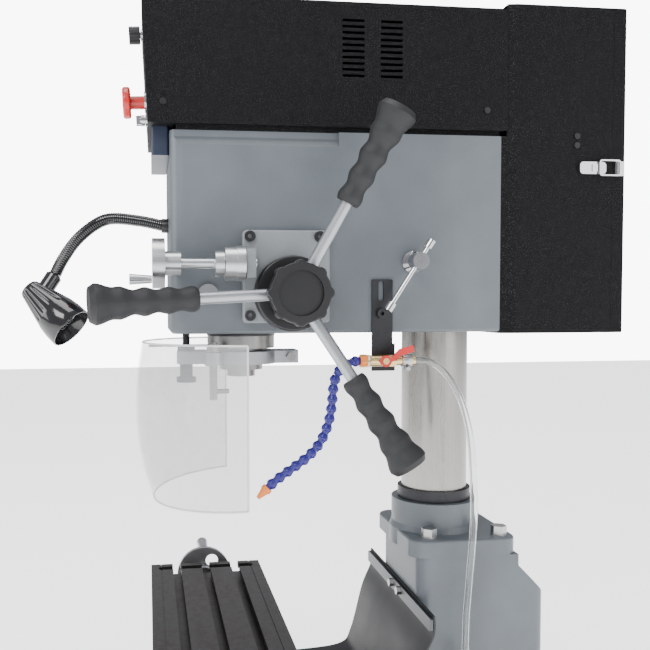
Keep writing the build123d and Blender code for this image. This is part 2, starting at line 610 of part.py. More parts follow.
def head_casting():
    """Hollow head with the quill barrel, the column clamp barrel and the lift gear's bulge."""
    length = HEAD_Y1 - HEAD_Y0
    middle = (HEAD_Y0 + HEAD_Y1) / 2
    height = HEAD_TOP - HEAD_BOTTOM
    with BuildPart() as casting:
        with BuildSketch(Plane.XY.offset(HEAD_BOTTOM)):
            with Locations((0, middle)):
                Rectangle(2 * HEAD_HALF, length)
        extrude(amount=height)
        fillet(casting.edges().filter_by(Axis.Z).group_by(Axis.Y)[0], HEAD_CORNER_R)
        # The lower edge is rounded all round but at the rear, where the barrel is cut flat.
        fillet(casting.faces().sort_by(Axis.Z)[0].edges().sort_by(Axis.Y)[:-1], 5)
        # Narrower neck along the top of the front, above the sloped ledge.
        for side in (-1, 1):
            with BuildSketch(Plane.XZ.offset(-(HEAD_Y0 - 1))):
                with BuildLine():
                    Polyline((side * (HEAD_HALF + 1), LEDGE_TOP - 13), (side * HEAD_HALF, LEDGE_TOP - 13),
                             (side * (HEAD_HALF - LEDGE_STEP), LEDGE_TOP),
                             (side * (HEAD_HALF - LEDGE_STEP), HEAD_TOP + 1),
                             (side * (HEAD_HALF + 1), HEAD_TOP + 1), close=True)
                make_face()
            extrude(amount=-LEDGE_LENGTH, mode=Mode.SUBTRACT)
        # Bulge over the lift gears on the left side.
        with BuildSketch(Plane.YZ.offset(BULGE_X)):
            with Locations((COLUMN_Y + 5, GEAR_Z + 14)):
                RectangleRounded(96, 110, 14)
        extrude(amount=-HEAD_HALF - BULGE_X + 1)
        # Hollow between the plates.
        with BuildSketch(Plane.XY.offset(HEAD_BOTTOM + SLAB)):
            with Locations((0, middle)):
                RectangleRounded(2 * (HEAD_HALF - HEAD_WALL), length - 2 * HEAD_WALL, 10)
        extrude(amount=height - 2 * SLAB, mode=Mode.SUBTRACT)
        with BuildSketch(Plane.YZ.offset(BULGE_X + 9)):
            with Locations((COLUMN_Y + 5, GEAR_Z + 14)):
                RectangleRounded(78, 92, 6)
        extrude(amount=-HEAD_HALF - BULGE_X + HEAD_WALL, mode=Mode.SUBTRACT)
        # Barrels, the rear one cut flat by the casting's rear face.
        with BuildSketch(Plane.XY.offset(HEAD_BOTTOM)):
            with Locations((0, SPINDLE_Y)):
                Circle(BARREL_R)
            with Locations((0, COLUMN_Y)):
                Circle(CLAMP_R)
            with Locations((0, middle)):
                Rectangle(2 * HEAD_HALF, length, mode=Mode.INTERSECT)
        extrude(amount=height)
        # Bearing block of the lift gear's shaft.
        with BuildSketch(Plane.XY.offset(GEAR_Z - 30)):
            with Locations((GEAR_X - 2, COLUMN_Y + 8)):
                Rectangle(46, 88)
        extrude(amount=85)
        # Lugs for the clamp screw beside the column.
        with BuildSketch(Plane.YZ.offset(-44)):
            with Locations((LOCK_Y, LOCK_Z)):
                Rectangle(34, 44)
        extrude(amount=88)
        with BuildSketch(Plane.YZ.offset(-50)):
            with Locations((LOCK_Y, LOCK_Z)):
                Circle(LOCK_R + RUN)
        extrude(amount=50 + HEAD_HALF, mode=Mode.SUBTRACT)
        with Locations((0, SPINDLE_Y, HEAD_TOP)):
            Hole(SLEEVE_R + RUN)
        with Locations((0, SPINDLE_Y, QUILL_TOP + 15)):
            Hole(QUILL_R + RUN)
        with Locations((0, COLUMN_Y, HEAD_TOP)):
            Hole(COLUMN_R + RUN)
            Hole(RACK_RING_R + 1, HEAD_TOP - COLUMN_TOP + LIFT_UP + RACK_RING_H + 8)
        # Slots: clamp split, rack passage, pinion window, feed and lift shafts.
        with BuildSketch(Plane.XY.offset(HEAD_BOTTOM - 1)):
            with Locations((0, LOCK_Y + 12)):
                Rectangle(3, 50)
            with Locations((-COLUMN_R - RACK_DEPTH / 2 - 1, COLUMN_Y)):
                Rectangle(RACK_DEPTH + 8, RACK_WIDTH + 4)
        extrude(amount=height + 2, mode=Mode.SUBTRACT)
        with BuildSketch(Plane.XY.offset(GEAR_Z - 26)):
            with Locations((GEAR_X, COLUMN_Y + 5)):
                Rectangle(2 * (WORM_WHEEL_R + 2), 66)
        extrude(amount=76, mode=Mode.SUBTRACT)
        with BuildSketch(Plane.XZ.offset(-(COLUMN_Y - 28))):
            with Locations((GEAR_X, GEAR_Z)):
                Circle(8 + RUN)
        extrude(amount=-74, mode=Mode.SUBTRACT)
        with BuildSketch(Plane.YZ.offset(BULGE_X - 1)):
            with Locations((CRANK_Y, CRANK_Z)):
                Circle(8 + RUN)
        extrude(amount=GEAR_X - BULGE_X - 18, mode=Mode.SUBTRACT)
        with BuildSketch(Plane.YZ.offset(-HEAD_HALF - 1)):
            with Locations((FEED_Y, FEED_Z)):
                Circle(PINION_SHAFT_R + RUN)
        extrude(amount=2 * HEAD_HALF + 2, mode=Mode.SUBTRACT)
        with BuildSketch(Plane.YZ.offset(-30)):
            with Locations((FEED_Y, FEED_Z)):
                Circle(PINION_R + 1)
        extrude(amount=60, mode=Mode.SUBTRACT)
        with Locations((0, SPINDLE_Y - DEPTH_ROD_FRONT, HEAD_BOTTOM + SLAB)):
            Hole(DEPTH_ROD_R + 0.3, SLAB)
    save(casting, "head_casting")


def quill_guide():
    """Steel ring bolted under the head round the quill."""
    with BuildPart() as guide:
        with BuildSketch(Plane.XY.offset(720)):
            with Locations((0, SPINDLE_Y)):
                Circle(BARREL_R)
                Circle(QUILL_R + RUN, mode=Mode.SUBTRACT)
        extrude(amount=HEAD_BOTTOM - 720 - 5)
        with BuildSketch(Plane.XY.offset(HEAD_BOTTOM - 5)):
            with Locations((0, SPINDLE_Y)):
                Circle(BARREL_R - 2)
                Circle(QUILL_R + RUN, mode=Mode.SUBTRACT)
        extrude(amount=5)
    save(guide, "quill_guide")


def cover_outline(inset):
    """Side view of the top cover: its front leans out towards the top. The hollow is open below and behind."""
    front, back = COLUMN_Y - COVER_FRONT + inset, COLUMN_Y + COVER_BACK
    low, high = COVER_BOTTOM, COVER_TOP - inset
    if inset:
        back, low = back + 1, low - 1
    return [(front, low), (back, low), (back, high), (front - COVER_LEAN, high)]


def top_cover():
    """Sheet-steel cover over the pulleys, open at its rear and below, louvred on its right side."""
    with BuildPart() as cover:
        with BuildSketch(SIDE):
            with BuildLine():
                Polyline(*cover_outline(0), close=True)
            make_face()
        extrude(amount=COVER_HALF, both=True)
        fillet(cover.edges().filter_by(Axis.X).group_by(Axis.Z)[-1].sort_by(Axis.Y)[0], 6)
        with BuildSketch(SIDE):
            with BuildLine():
                Polyline(*cover_outline(SHEET), close=True)
            make_face()
        extrude(amount=COVER_HALF - SHEET, both=True, mode=Mode.SUBTRACT)
        # Inward flange and the lip that stands on the casting.
        front = COLUMN_Y - COVER_FRONT
        length = HEAD_Y1 - front
        lip_half = HEAD_HALF - LIP_INSET
        lip_front = HEAD_Y0 + LIP_INSET + 3
        with BuildSketch(Plane.XY.offset(COVER_BOTTOM)):
            with Locations((0, front + length / 2)):
                Rectangle(2 * COVER_HALF, length)
            with Locations((0, (lip_front + HEAD_Y1) / 2 + 2)):
                Rectangle(2 * lip_half - 2 * SHEET, HEAD_Y1 - lip_front - SHEET + 12, mode=Mode.SUBTRACT)
        extrude(amount=SHEET)
        with BuildSketch(Plane.XY.offset(HEAD_TOP)):
            with Locations((0, (lip_front + HEAD_Y1) / 2)):
                Rectangle(2 * lip_half, HEAD_Y1 - lip_front)
            with Locations((0, (lip_front + HEAD_Y1) / 2 + SHEET)):
                Rectangle(2 * lip_half - 2 * SHEET, HEAD_Y1 - lip_front, mode=Mode.SUBTRACT)
        extrude(amount=COVER_BOTTOM - HEAD_TOP + SHEET)
        # Two fields of louvre slots.
        for field in (-182.5, -120.0):
            with BuildSketch(Plane.YZ.offset(COVER_HALF - SHEET - 1)):
                with Locations((COLUMN_Y + field, COVER_TOP - 72)):
                    with GridLocations(1, SLOT_PITCH, 1, SLOT_ROWS):
                        Rectangle(SLOT_LENGTH, SLOT_HEIGHT)
            extrude(amount=SHEET + 2, mode=Mode.SUBTRACT)
        # Holes for the three controls on the front.
        for x, z, radius in CONTROL_HOLES:
            with BuildSketch(Plane.XZ.offset(-front + 20)):
                with Locations((x, z)):
                    Circle(radius)
            extrude(amount=-40, mode=Mode.SUBTRACT)
    save(cover, "top_cover")


LATCH_Z = 1018.0
LATCH_X = COVER_HALF + 3.0
HINGE_X = -COVER_HALF - 5.0
HINGE_Y = BOX_Y1 + CLEAR + 6.0
HINGE_LEVELS = (BOX_BOTTOM + 70, BOX_TOP - 140)


def rear_box():
    """Sheet-steel box behind the column round the motor; its rear is closed by the door."""
    with BuildPart() as box:
        half, front = COVER_HALF, HEAD_Y1 + SEAT
        with BuildSketch(Plane.XY.offset(BOX_BOTTOM)):
            with BuildLine():
                Polyline((5 - half, front), (half - 5, front), (half, front + BOX_SHOULDER), (half, BOX_Y1),
                         (-half, BOX_Y1), (-half, front + BOX_SHOULDER), close=True)
            make_face()
        extrude(amount=BOX_TOP - BOX_BOTTOM)
        # The upper part starts behind the top cover.
        with BuildSketch(Plane.XY.offset(HEAD_TOP)):
            with Locations((0, HEAD_Y1)):
                Rectangle(2 * COVER_HALF + 4, 2 * (COLUMN_Y + COVER_BACK + SEAT - HEAD_Y1))
        extrude(amount=BOX_TOP - HEAD_TOP + 1, mode=Mode.SUBTRACT)
        with BuildSketch(Plane.XY.offset(BOX_BOTTOM + SHEET)):
            with Locations((0, (HEAD_Y1 + BOX_Y1) / 2 + SHEET + 8)):
                Rectangle(2 * (COVER_HALF - SHEET) - 10, BOX_Y1 - HEAD_Y1 + 14)
            with Locations((0, (HEAD_Y1 + BOX_SHOULDER + BOX_Y1) / 2 + 4)):
                Rectangle(2 * (COVER_HALF - SHEET), BOX_Y1 - HEAD_Y1 - BOX_SHOULDER + 8)
        extrude(amount=BOX_TOP - BOX_BOTTOM - 2 * SHEET, mode=Mode.SUBTRACT)
        # Opening towards the pulleys, and towards the casting's rear for the motor plate.
        with BuildSketch(Plane.XY.offset(HEAD_TOP + 6)):
            with Locations((0, HEAD_Y1 + 6)):
                Rectangle(2 * (COVER_HALF - 14), 30)
        extrude(amount=COVER_TOP - HEAD_TOP - 20, mode=Mode.SUBTRACT)
        with BuildSketch(Plane.XY.offset(MOTOR_PLATE_Z - 40)):
            with Locations((0, HEAD_Y1)):
                Rectangle(2 * 100 + 2, 10)
        extrude(amount=54, mode=Mode.SUBTRACT)
        # Latch base on the right side and hinge knuckles on the left.
        with BuildSketch(Plane.YZ.offset(COVER_HALF)):
            with Locations((BOX_Y1 - 34, LATCH_Z)):
                RectangleRounded(40, 16, 2)
        extrude(amount=LATCH_X - COVER_HALF - CLEAR)
        for z in HINGE_LEVELS:
            with BuildSketch(Plane.XY.offset(z + 40.4)):
                with Locations((HINGE_X, HINGE_Y)):
                    Circle(4.5)
                with Locations((-COVER_HALF - 2.25, (BOX_Y1 - 12 + HINGE_Y) / 2)):
                    Rectangle(4.5, HINGE_Y - BOX_Y1 + 12)
            extrude(amount=20)
    save(box, "rear_box")


def rear_door():
    """Door tray at the rear of the box, with its hinge pin."""
    depth = DOOR_DEPTH
    with BuildPart() as door:
        with BuildSketch(Plane.XZ.offset(-(BOX_Y1 + CLEAR))):
            with Locations((0, (BOX_TOP + BOX_BOTTOM) / 2)):
                Rectangle(2 * COVER_HALF, BOX_TOP - BOX_BOTTOM)
        extrude(amount=-depth)
        fillet(door.faces().sort_by(Axis.Y)[-1].edges(), 5)
        with BuildSketch(Plane.XZ.offset(-(BOX_Y1 + CLEAR))):
            with Locations((0, (BOX_TOP + BOX_BOTTOM) / 2)):
                Rectangle(2 * (COVER_HALF - SHEET), BOX_TOP - BOX_BOTTOM - 2 * SHEET)
        extrude(amount=-(depth - SHEET), mode=Mode.SUBTRACT)
        for z in HINGE_LEVELS:
            with BuildSketch(Plane.XY.offset(z)):
                with Locations((HINGE_X, HINGE_Y)):
                    Circle(4.5)
                with Locations((-COVER_HALF - 2.5, HINGE_Y)):
                    Rectangle(5, 9)
            extrude(amount=40)
    save(door, "rear_door")


def latch():
    """Toggle latch: lever on the box, wire bail, and the hook plate on the door."""
    with BuildPart() as lever:
        with BuildSketch(Plane.YZ.offset(LATCH_X)):
            with Locations((BOX_Y1 - 37, LATCH_Z)):
                RectangleRounded(46, 20, 6)
        extrude(amount=2)
        with BuildSketch(Plane.YZ.offset(LATCH_X + 2)):
            with Locations((BOX_Y1 - 30, LATCH_Z)):
                Rectangle(18, 12)
        extrude(amount=1.5)
    save(lever, "latch_lever")
    with BuildPart() as bail:
        with BuildSketch(Plane.YZ.offset(LATCH_X + 3.5 + SEAT)):
            with Locations((BOX_Y1 - 9, LATCH_Z)):
                RectangleRounded(38, 27, 5)
                RectangleRounded(33, 22, 3, mode=Mode.SUBTRACT)
        extrude(amount=2.6)
    save(bail, "latch_bail")
    with BuildPart() as strike:
        with BuildSketch(Plane.YZ.offset(COVER_HALF)):
            with Locations((BOX_Y1 + CLEAR + 12, LATCH_Z)):
                RectangleRounded(16, 24, 2)
        extrude(amount=1.5)
        with BuildSketch(Plane.YZ.offset(COVER_HALF + 1.5)):
            with Locations((BOX_Y1 + CLEAR + 7, LATCH_Z)):
                Rectangle(3, 22)
        extrude(amount=3)
    save(strike, "latch_strike")


CONTROL_FACE = COLUMN_Y - COVER_FRONT   # front of the cover at its lower edge
CONTROL_X = 60.0
KNOB_Z = 1229.0
ESTOP_Z = 1122.0
SWITCH_Z = 1093.0
CONTROL_HOLES = ((CONTROL_X, KNOB_Z, 6.6), (CONTROL_X, ESTOP_Z, 12.5), (CONTROL_X, SWITCH_Z, 7.3))


def front_control(z):
    """Plane on the leaning front of the cover, facing the operator."""
    lean = COVER_LEAN / (COVER_TOP - COVER_BOTTOM)
    y = CONTROL_FACE - lean * (z - COVER_BOTTOM)
    return Plane((CONTROL_X, y, z), x_dir=(1, 0, 0), z_dir=(0, -1, -lean))


def controls():
    """Emergency stop, speed knob, selector, their bezels, and the switch box below the cover."""
    with BuildPart() as bezels:
        for z, outer, inner in ((KNOB_Z, 9, 5.0), (ESTOP_Z, 17, 10.5), (SWITCH_Z, 10, 5.6)):
            with BuildSketch(front_control(z).offset(0.2)):
                Circle(outer)
                Circle(inner, mode=Mode.SUBTRACT)
            extrude(amount=3)
            with BuildSketch(front_control(z).offset(-14)):
                Circle(inner + 1)
                Circle(inner, mode=Mode.SUBTRACT)
            extrude(amount=14.2)
    save(bezels, "control_bezels")
    with BuildPart() as stop:
        with BuildSketch(front_control(ESTOP_Z).offset(-12)):
            Circle(10.5 - RUN)
        extrude(amount=38)
        with BuildSketch(front_control(ESTOP_Z).offset(25)):
            Circle(25)
        extrude(amount=13)
        fillet(stop.edges().filter_by(GeomType.CIRCLE).group_by(SortBy.LENGTH)[-1], 4)
    save(stop, "estop_button")
    with BuildPart() as knob:
        with BuildSketch(front_control(KNOB_Z).offset(-10)):
            Circle(5 - RUN)
        extrude(amount=15)
        with BuildSketch(front_control(KNOB_Z).offset(4)):
            Circle(14)
            with PolarLocations(14.6, 12):
                Circle(1.6, mode=Mode.SUBTRACT)
        extrude(amount=18)
    save(knob, "speed_knob")
    with BuildPart() as selector:
        with BuildSketch(front_control(SWITCH_Z).offset(-10)):
            Circle(5.6 - RUN)
        extrude(amount=22)
        with BuildSketch(front_control(SWITCH_Z).offset(3.8)):
            Circle(9)
        extrude(amount=6)
        with BuildSketch(front_control(SWITCH_Z).offset(9)):
            SlotOverall(17, 6, rotation=90)
        extrude(amount=9)
    save(selector, "selector_switch")
    with BuildPart() as box:
        with BuildSketch(Plane.XY.offset(1031)):
            with Locations((0, HEAD_Y0 - 14)):
                RectangleRounded(200, 27, 4)
        extrude(amount=COVER_BOTTOM - 1031)
        # Speed drive inside the front of the cover.
        with BuildSketch(Plane.XY.offset(COVER_BOTTOM + SHEET)):
            with Locations((-35, COLUMN_Y - COVER_FRONT + 38)):
                RectangleRounded(120, 42, 4)
        extrude(amount=120)
    save(box, "control_box")


def feed_plate():
    """Cast plate on the head's right side that carries the feed shafts."""
    low, high = PLATE_LOW, PLATE_HIGH
    front, back = SPINDLE_Y - PLATE_FRONT, SPINDLE_Y + PLATE_BACK
    with BuildPart() as plate:
        with BuildSketch(Plane.YZ.offset(HEAD_HALF)):
            with Locations(((front + back) / 2, (low + high) / 2)):
                RectangleRounded(back - front, high - low, 7)
        extrude(amount=PLATE_FACE - HEAD_HALF)
        chamfer(plate.faces().sort_by(Axis.X)[-1].edges(), 2.5)
        with BuildSketch(Plane.YZ.offset(HEAD_HALF)):
            with Locations((FEED_Y, FEED_Z)):
                Circle(PINION_SHAFT_R + RUN)
        extrude(amount=40, mode=Mode.SUBTRACT)
        # Bearing block for the fine-feed shaft at the plate's front edge.
        with BuildSketch(Plane.XZ.offset(-(front + 1))):
            with Locations((FINE_X - 6, FINE_Z)):
                Rectangle(52, 44)
        extrude(amount=-14)
        with BuildSketch(Plane.XZ.offset(-(front - 1))):
            with Locations((FINE_X, FINE_Z)):
                Circle(FINE_SHAFT_R + RUN)
        extrude(amount=-30, mode=Mode.SUBTRACT)
    save(plate, "feed_plate")


def head_screws():
    """Socket screws of the feed plate and hose bracket, cross-head screws of the covers."""
    with BuildPart() as screws:
        front, back = SPINDLE_Y - PLATE_FRONT + 11, SPINDLE_Y + PLATE_BACK - 17
        spots = [(y, z) for y in (front, back) for z in (PLATE_LOW + 12, PLATE_HIGH - 10)]
        # The lower rear corner lies under the capstan's hub and has no screw.
        spots.remove((back, PLATE_LOW + 12))
        with BuildSketch(Plane.YZ.offset(PLATE_FACE)):
            with Locations(*spots):
                Circle(8.5)
                RegularPolygon(4.2, 6, mode=Mode.SUBTRACT)
        extrude(amount=6)
        with BuildSketch(Plane.YZ.offset(BRACKET_FACE)):
            with Locations((COLUMN_Y - 136, 779)):
                Circle(8)
                RegularPolygon(3.5, 6, mode=Mode.SUBTRACT)
        extrude(amount=7)
        with BuildSketch(Plane.YZ.offset(COVER_HALF)):
            with Locations((COLUMN_Y - 484, 1108), (COLUMN_Y + 40, 1108)):
                Circle(5)
            with Locations((COLUMN_Y + 196, 1070), (COLUMN_Y + 196, 1055)):
                Circle(5)
        extrude(amount=2.5)
    save(screws, "head_screws")


def oil_sight():
    """Chromed ring and glass of the oil sight."""
    with BuildPart() as sight:
        with BuildSketch(Plane.YZ.offset(HEAD_HALF)):
            with Locations((SPINDLE_Y - 66, FEED_Z)):
                Circle(16)
        extrude(amount=3)
        with BuildSketch(Plane.YZ.offset(HEAD_HALF + 3)):
            with Locations((SPINDLE_Y - 66, FEED_Z)):
                Circle(16)
                Circle(10.5, mode=Mode.SUBTRACT)
        extrude(amount=3)
    save(sight, "oil_sight")


BRACKET_FACE = HEAD_HALF + 4.0
STUD_Y = COLUMN_Y - 138.0      # the valve's stud and lever stem


def coolant_bracket():
    """Slotted black bracket that holds the coolant valve below the head."""
    y = COLUMN_Y - 134.0
    with BuildPart() as bracket:
        with BuildSketch(Plane.YZ.offset(HEAD_HALF)):
            with Locations((y, 760)):
                RectangleRounded(34, 148, 2)
            with Locations((y + 2, 708)):
                Rectangle(38, 44)
            with Locations((y - 2, 815)):
                SlotOverall(32, 9, rotation=90, mode=Mode.SUBTRACT)
            with Locations((STUD_Y, VALVE_Z)):
                Circle(8 + RUN, mode=Mode.SUBTRACT)
        extrude(amount=4)
    save(bracket, "coolant_bracket")


def coolant_valve():
    """Brass ball valve along Y with its tail barb, its nose for the jointed hose and a mounting stud."""
    y0 = COLUMN_Y + VALVE_BACK
    with BuildPart() as valve:
        axis_plane = Plane((VALVE_X, y0 - 32, VALVE_Z), x_dir=(1, 0, 0), z_dir=(0, 1, 0))
        with BuildSketch(axis_plane):
            RegularPolygon(10.5, 6)
        extrude(amount=16)
        with BuildSketch(axis_plane.offset(14)):
            Circle(9)
        extrude(amount=36)
        with BuildSketch(axis_plane.offset(46)):
            RegularPolygon(10.5, 6)
        extrude(amount=12)
        with BuildSketch(axis_plane.offset(56)):
            Circle(7.5)
        extrude(amount=HOSE_UPPER[0][1] - y0 + 32 - 56)
        with BuildSketch(Plane((BRACKET_FACE - 4, STUD_Y, VALVE_Z), x_dir=(0, 1, 0), z_dir=(1, 0, 0))):
            Circle(8)
        extrude(amount=VALVE_X - BRACKET_FACE)
        with BuildSketch(Plane((VALVE_X, STUD_Y, VALVE_Z), x_dir=(0, 1, 0), z_dir=(1, 0, 0))):
            Circle(5)
        extrude(amount=16)
    save(valve, "coolant_valve")
    with BuildPart() as lever:
        stem = Plane((VALVE_X + 11, STUD_Y, VALVE_Z), x_dir=(0, 1, 0), z_dir=(1, 0, 0))
        with BuildSketch(stem):
            Circle(9)
            Circle(5 + RUN, mode=Mode.SUBTRACT)
        extrude(amount=4)
        with BuildSketch(stem):
            with BuildLine():
                Polyline((7, 4), (22, 19), (44, 25), (46, 15), (26, 9), (7, -3), close=True)
            make_face()
            Circle(5 + RUN, mode=Mode.SUBTRACT)
        extrude(amount=4)
    save(lever, "valve_lever")


# Route of the jointed blue hose from the valve's nose to the orange nozzle, (Y from the column, Z).
SEGMENT_ROUTE = [(-200, 699), (-216, 680), (-221, 650), (-230, 599), (-247, 567), (-288, 534), (-325, 506)]
SEGMENTS = 17


def jointed_hose():
    """Ball-jointed hose segments standing by their own stiffness, and the cone nozzle."""
    points = [(VALVE_X, COLUMN_Y + y, z) for y, z in SEGMENT_ROUTE]
    start = (VALVE_X, COLUMN_Y + VALVE_BACK - 32.2, VALVE_Z)
    with BuildLine() as route:
        Spline(start, *points)
    wire = route.wire()
    with BuildPart() as segments:
        pitch = wire.length / SEGMENTS
        # Half outline of one segment: radius, share of the pitch.
        outline = [(0, 0.04), (2, 0.04), (7.6, 0.22), (8.65, 0.66), (5, 0.72), (2, 0.96), (0, 0.96)]
        for i in range(SEGMENTS):
            start = wire.position_at(i * pitch, PositionMode.LENGTH)
            along = (wire.position_at((i + 1) * pitch, PositionMode.LENGTH) - start).normalized()
            face = Plane(start, x_dir=(1, 0, 0), z_dir=along.cross(Vector(1, 0, 0)) * -1)
            with BuildSketch(face):
                with BuildLine():
                    Polyline(*[(radius, share * pitch) for radius, share in outline], close=True)
                make_face()
            revolve(axis=Axis(face.origin, along))
    save(segments, "jointed_hose")
    with BuildPart() as nozzle:
        tip = Plane(wire @ 1, z_dir=wire % 1)
        with BuildSketch(tip.offset(0.2)):
            Circle(8.6)
        extrude(amount=7)
        with BuildSketch(tip.offset(7.2)):
            Circle(7)
        extrude(amount=16, taper=14)
    save(nozzle, "coolant_nozzle")


def motor():
    """Vertical motor on its plate behind the casting."""
    with BuildPart() as body:
        with BuildSketch(Plane.XY.offset(MOTOR_LOW)):
            with Locations((0, MOTOR_Y)):
                Circle(MOTOR_R - 5)
                with PolarLocations(MOTOR_R - 4, 24):
                    Rectangle(10, 3)
        extrude(amount=MOTOR_PLATE_Z - MOTOR_LOW)
        with BuildSketch(Plane.XY.offset(MOTOR_PLATE_Z)):
            with Locations((0, (HEAD_Y1 + MOTOR_Y + MOTOR_R) / 2)):
                Rectangle(200, MOTOR_Y + MOTOR_R - HEAD_Y1)
            with Locations((0, MOTOR_Y)):
                Circle(MOTOR_SHAFT_R + 1, mode=Mode.SUBTRACT)
        extrude(amount=12)
        with BuildSketch(Plane.XY.offset(MOTOR_PLATE_Z - 35)):
            with Locations((0, HEAD_Y1 + 5)):
                Rectangle(200, 10)
        extrude(amount=35)
        with Locations((0, MOTOR_Y, MOTOR_PLATE_Z)):
            Hole(MOTOR_SHAFT_R + RUN, 60)
    save(body, "motor")


def drive():
    """Motor rotor with its pulley, spindle pulley with its sleeve, and the belt round both."""
    low = PULLEY_Z - 2
    # Each pulley: name, rim radius, hub radius, axis, hub's foot and height.
    pulleys = (("motor_pulley", MOTOR_PULLEY_R, MOTOR_SHAFT_R, MOTOR_Y, MOTOR_PLATE_Z - 50, low + 34),
               ("spindle_pulley", SPINDLE_PULLEY_R, SLEEVE_R, SPINDLE_Y, QUILL_TOP + 15, low + 50))
    for name, rim, hub, y, foot, head in pulleys:
        with BuildPart() as wheel:
            for radius, start, end in ((rim, low, low + BELT_WIDTH + 4), (hub, foot, head)):
                with BuildSketch(Plane.XY.offset(start)):
                    with Locations((0, y)):
                        Circle(radius)
                extrude(amount=end - start)
            if name == "spindle_pulley":
                with Locations((0, y, head)):
                    Hole(SPINDLE_R + RUN)
        save(wheel, name)
    with BuildPart() as belt:
        lean = math.asin((SPINDLE_PULLEY_R - MOTOR_PULLEY_R) / (MOTOR_Y - SPINDLE_Y))
        for grow, mode in ((SEAT + BELT_THICK, Mode.ADD), (SEAT, Mode.SUBTRACT)):
            with BuildSketch(Plane.XY.offset(PULLEY_Z)):
                big, small = SPINDLE_PULLEY_R + grow, MOTOR_PULLEY_R + grow
                side = [(radius * math.cos(lean), y + radius * math.sin(lean))
                        for radius, y in ((big, SPINDLE_Y), (small, MOTOR_Y))]
                with BuildLine():
                    right = Line(side[0], side[1])
                    left = Line((-side[1][0], side[1][1]), (-side[0][0], side[0][1]))
                    ThreePointArc(right @ 1, (0, MOTOR_Y + small), left @ 0)
                    ThreePointArc(left @ 1, (0, SPINDLE_Y - big), right @ 0)
                make_face()
            extrude(amount=BELT_WIDTH, mode=mode)
    save(belt, "drive_belt")


def spring_housing():
    """Cap on the left side that houses the quill's return spring."""
    with BuildPart() as cap:
        with BuildSketch(Plane.YZ.offset(-HEAD_HALF)):
            with Locations((FEED_Y, FEED_Z)):
                Circle(42)
        extrude(amount=-26)
        fillet(cap.faces().sort_by(Axis.X)[0].edges(), 5)
        with BuildSketch(Plane.YZ.offset(-HEAD_HALF + 1)):
            with Locations((FEED_Y, FEED_Z)):
                Circle(PINION_SHAFT_R + RUN)
        extrude(amount=-20, mode=Mode.SUBTRACT)
    save(cap, "spring_housing")


# Gooseneck route from the head's front face to the lamp, (X, Y from the column, Z).
ARM_R = 10.1
ARM_Z = 929.0
ARM_ROUTE = [(2, -492, 931), (10, -523, 936), (25, -566, 938), (38, -592, 928), (50, -622, 902),
             (60, -644, 870), (64, -657, 844)]
LAMP_BACK = (68.0, -698.0, 822.0)
LAMP_AIM = Vector(0.318, 0.69, -0.65).normalized()
LAMP_LENGTH = 100.0


def lamp():
    """Gooseneck lamp: flexible arm in its socket, and the conical head on the arm's end."""
    front = (0, COLUMN_Y - HEAD_FRONT - 10, ARM_Z)
    points = [(x, COLUMN_Y + y, z) for x, y, z in ARM_ROUTE]
    end = Vector(*points[-1])
    back = Vector(LAMP_BACK[0], COLUMN_Y + LAMP_BACK[1], LAMP_BACK[2])
    reach = back + LAMP_AIM * 25 - end
    with BuildPart() as arm:
        with BuildLine() as route:
            Spline(front, *points, tangents=((0.05, -1, 0.05), tuple(reach.normalized())))
        with BuildSketch(Plane(route.wire() @ 0, z_dir=route.wire() % 0)):
            Circle(ARM_R)
        sweep(path=route.wire())
        with BuildSketch(Plane.XZ.offset(-(COLUMN_Y - HEAD_FRONT))):
            with Locations((0, ARM_Z)):
                Circle(ARM_R + 2.4)
        extrude(amount=12)
    save(arm, "lamp_arm")
    with BuildPart() as head:
        with BuildSketch(Plane(end + reach.normalized() * CLEAR, z_dir=reach)):
            Circle(13)
        extrude(amount=reach.length - 16)
        side = LAMP_AIM.cross(Vector(0, 0, 1)).normalized()
        profile = Plane(back, x_dir=side, z_dir=side.cross(LAMP_AIM))
        with BuildSketch(profile):
            with BuildLine():
                Polyline((0, 0), (13, 0), (16, 4), (36, LAMP_LENGTH), (33, LAMP_LENGTH), (13, 10), (0, 10),
                         close=True)
            make_face()
        revolve(axis=Axis(back, LAMP_AIM))
        with BuildSketch(Plane(back + LAMP_AIM * (LAMP_LENGTH - 14), z_dir=LAMP_AIM)):
            Circle(29.4)
        extrude(amount=4)
    save(head, "lamp_head")


# ---- lift gears, feed, quill, spindle -------------------------------------------------------
def lift_gears():
    """Cross shaft with the rack's pinion and the worm wheel, and the crank with its worm."""
    with BuildPart() as gear:
        for radius, start, width in ((8, -26, 72), (GEAR_PINION_R, -10, 20), (WORM_WHEEL_R, 16, 18)):
            with BuildSketch(Plane((GEAR_X, COLUMN_Y + start, GEAR_Z), x_dir=(1, 0, 0), z_dir=(0, 1, 0))):
                Circle(radius)
            extrude(amount=width)
    save(gear, "lift_gear")
    with BuildPart() as crank:
        for radius, start, width in ((WORM_R, GEAR_X + 16, -32), (8, GEAR_X, BULGE_X - 20 - GEAR_X),
                                     (14, BULGE_X - 12, -14)):
            with BuildSketch(Plane.YZ.offset(start)):
                with Locations((CRANK_Y, CRANK_Z)):
                    Circle(radius)
            extrude(amount=width)
        with BuildSketch(Plane.YZ.offset(BULGE_X - 14)):
            with Locations((CRANK_Y, CRANK_Z - 45)):
                SlotOverall(118, 20, rotation=90)
        extrude(amount=-10)
        with BuildSketch(Plane.YZ.offset(BULGE_X - 24)):
            with Locations((CRANK_Y, CRANK_Z - 92)):
                Circle(11)
        extrude(amount=-70)
    save(crank, "lift_crank")


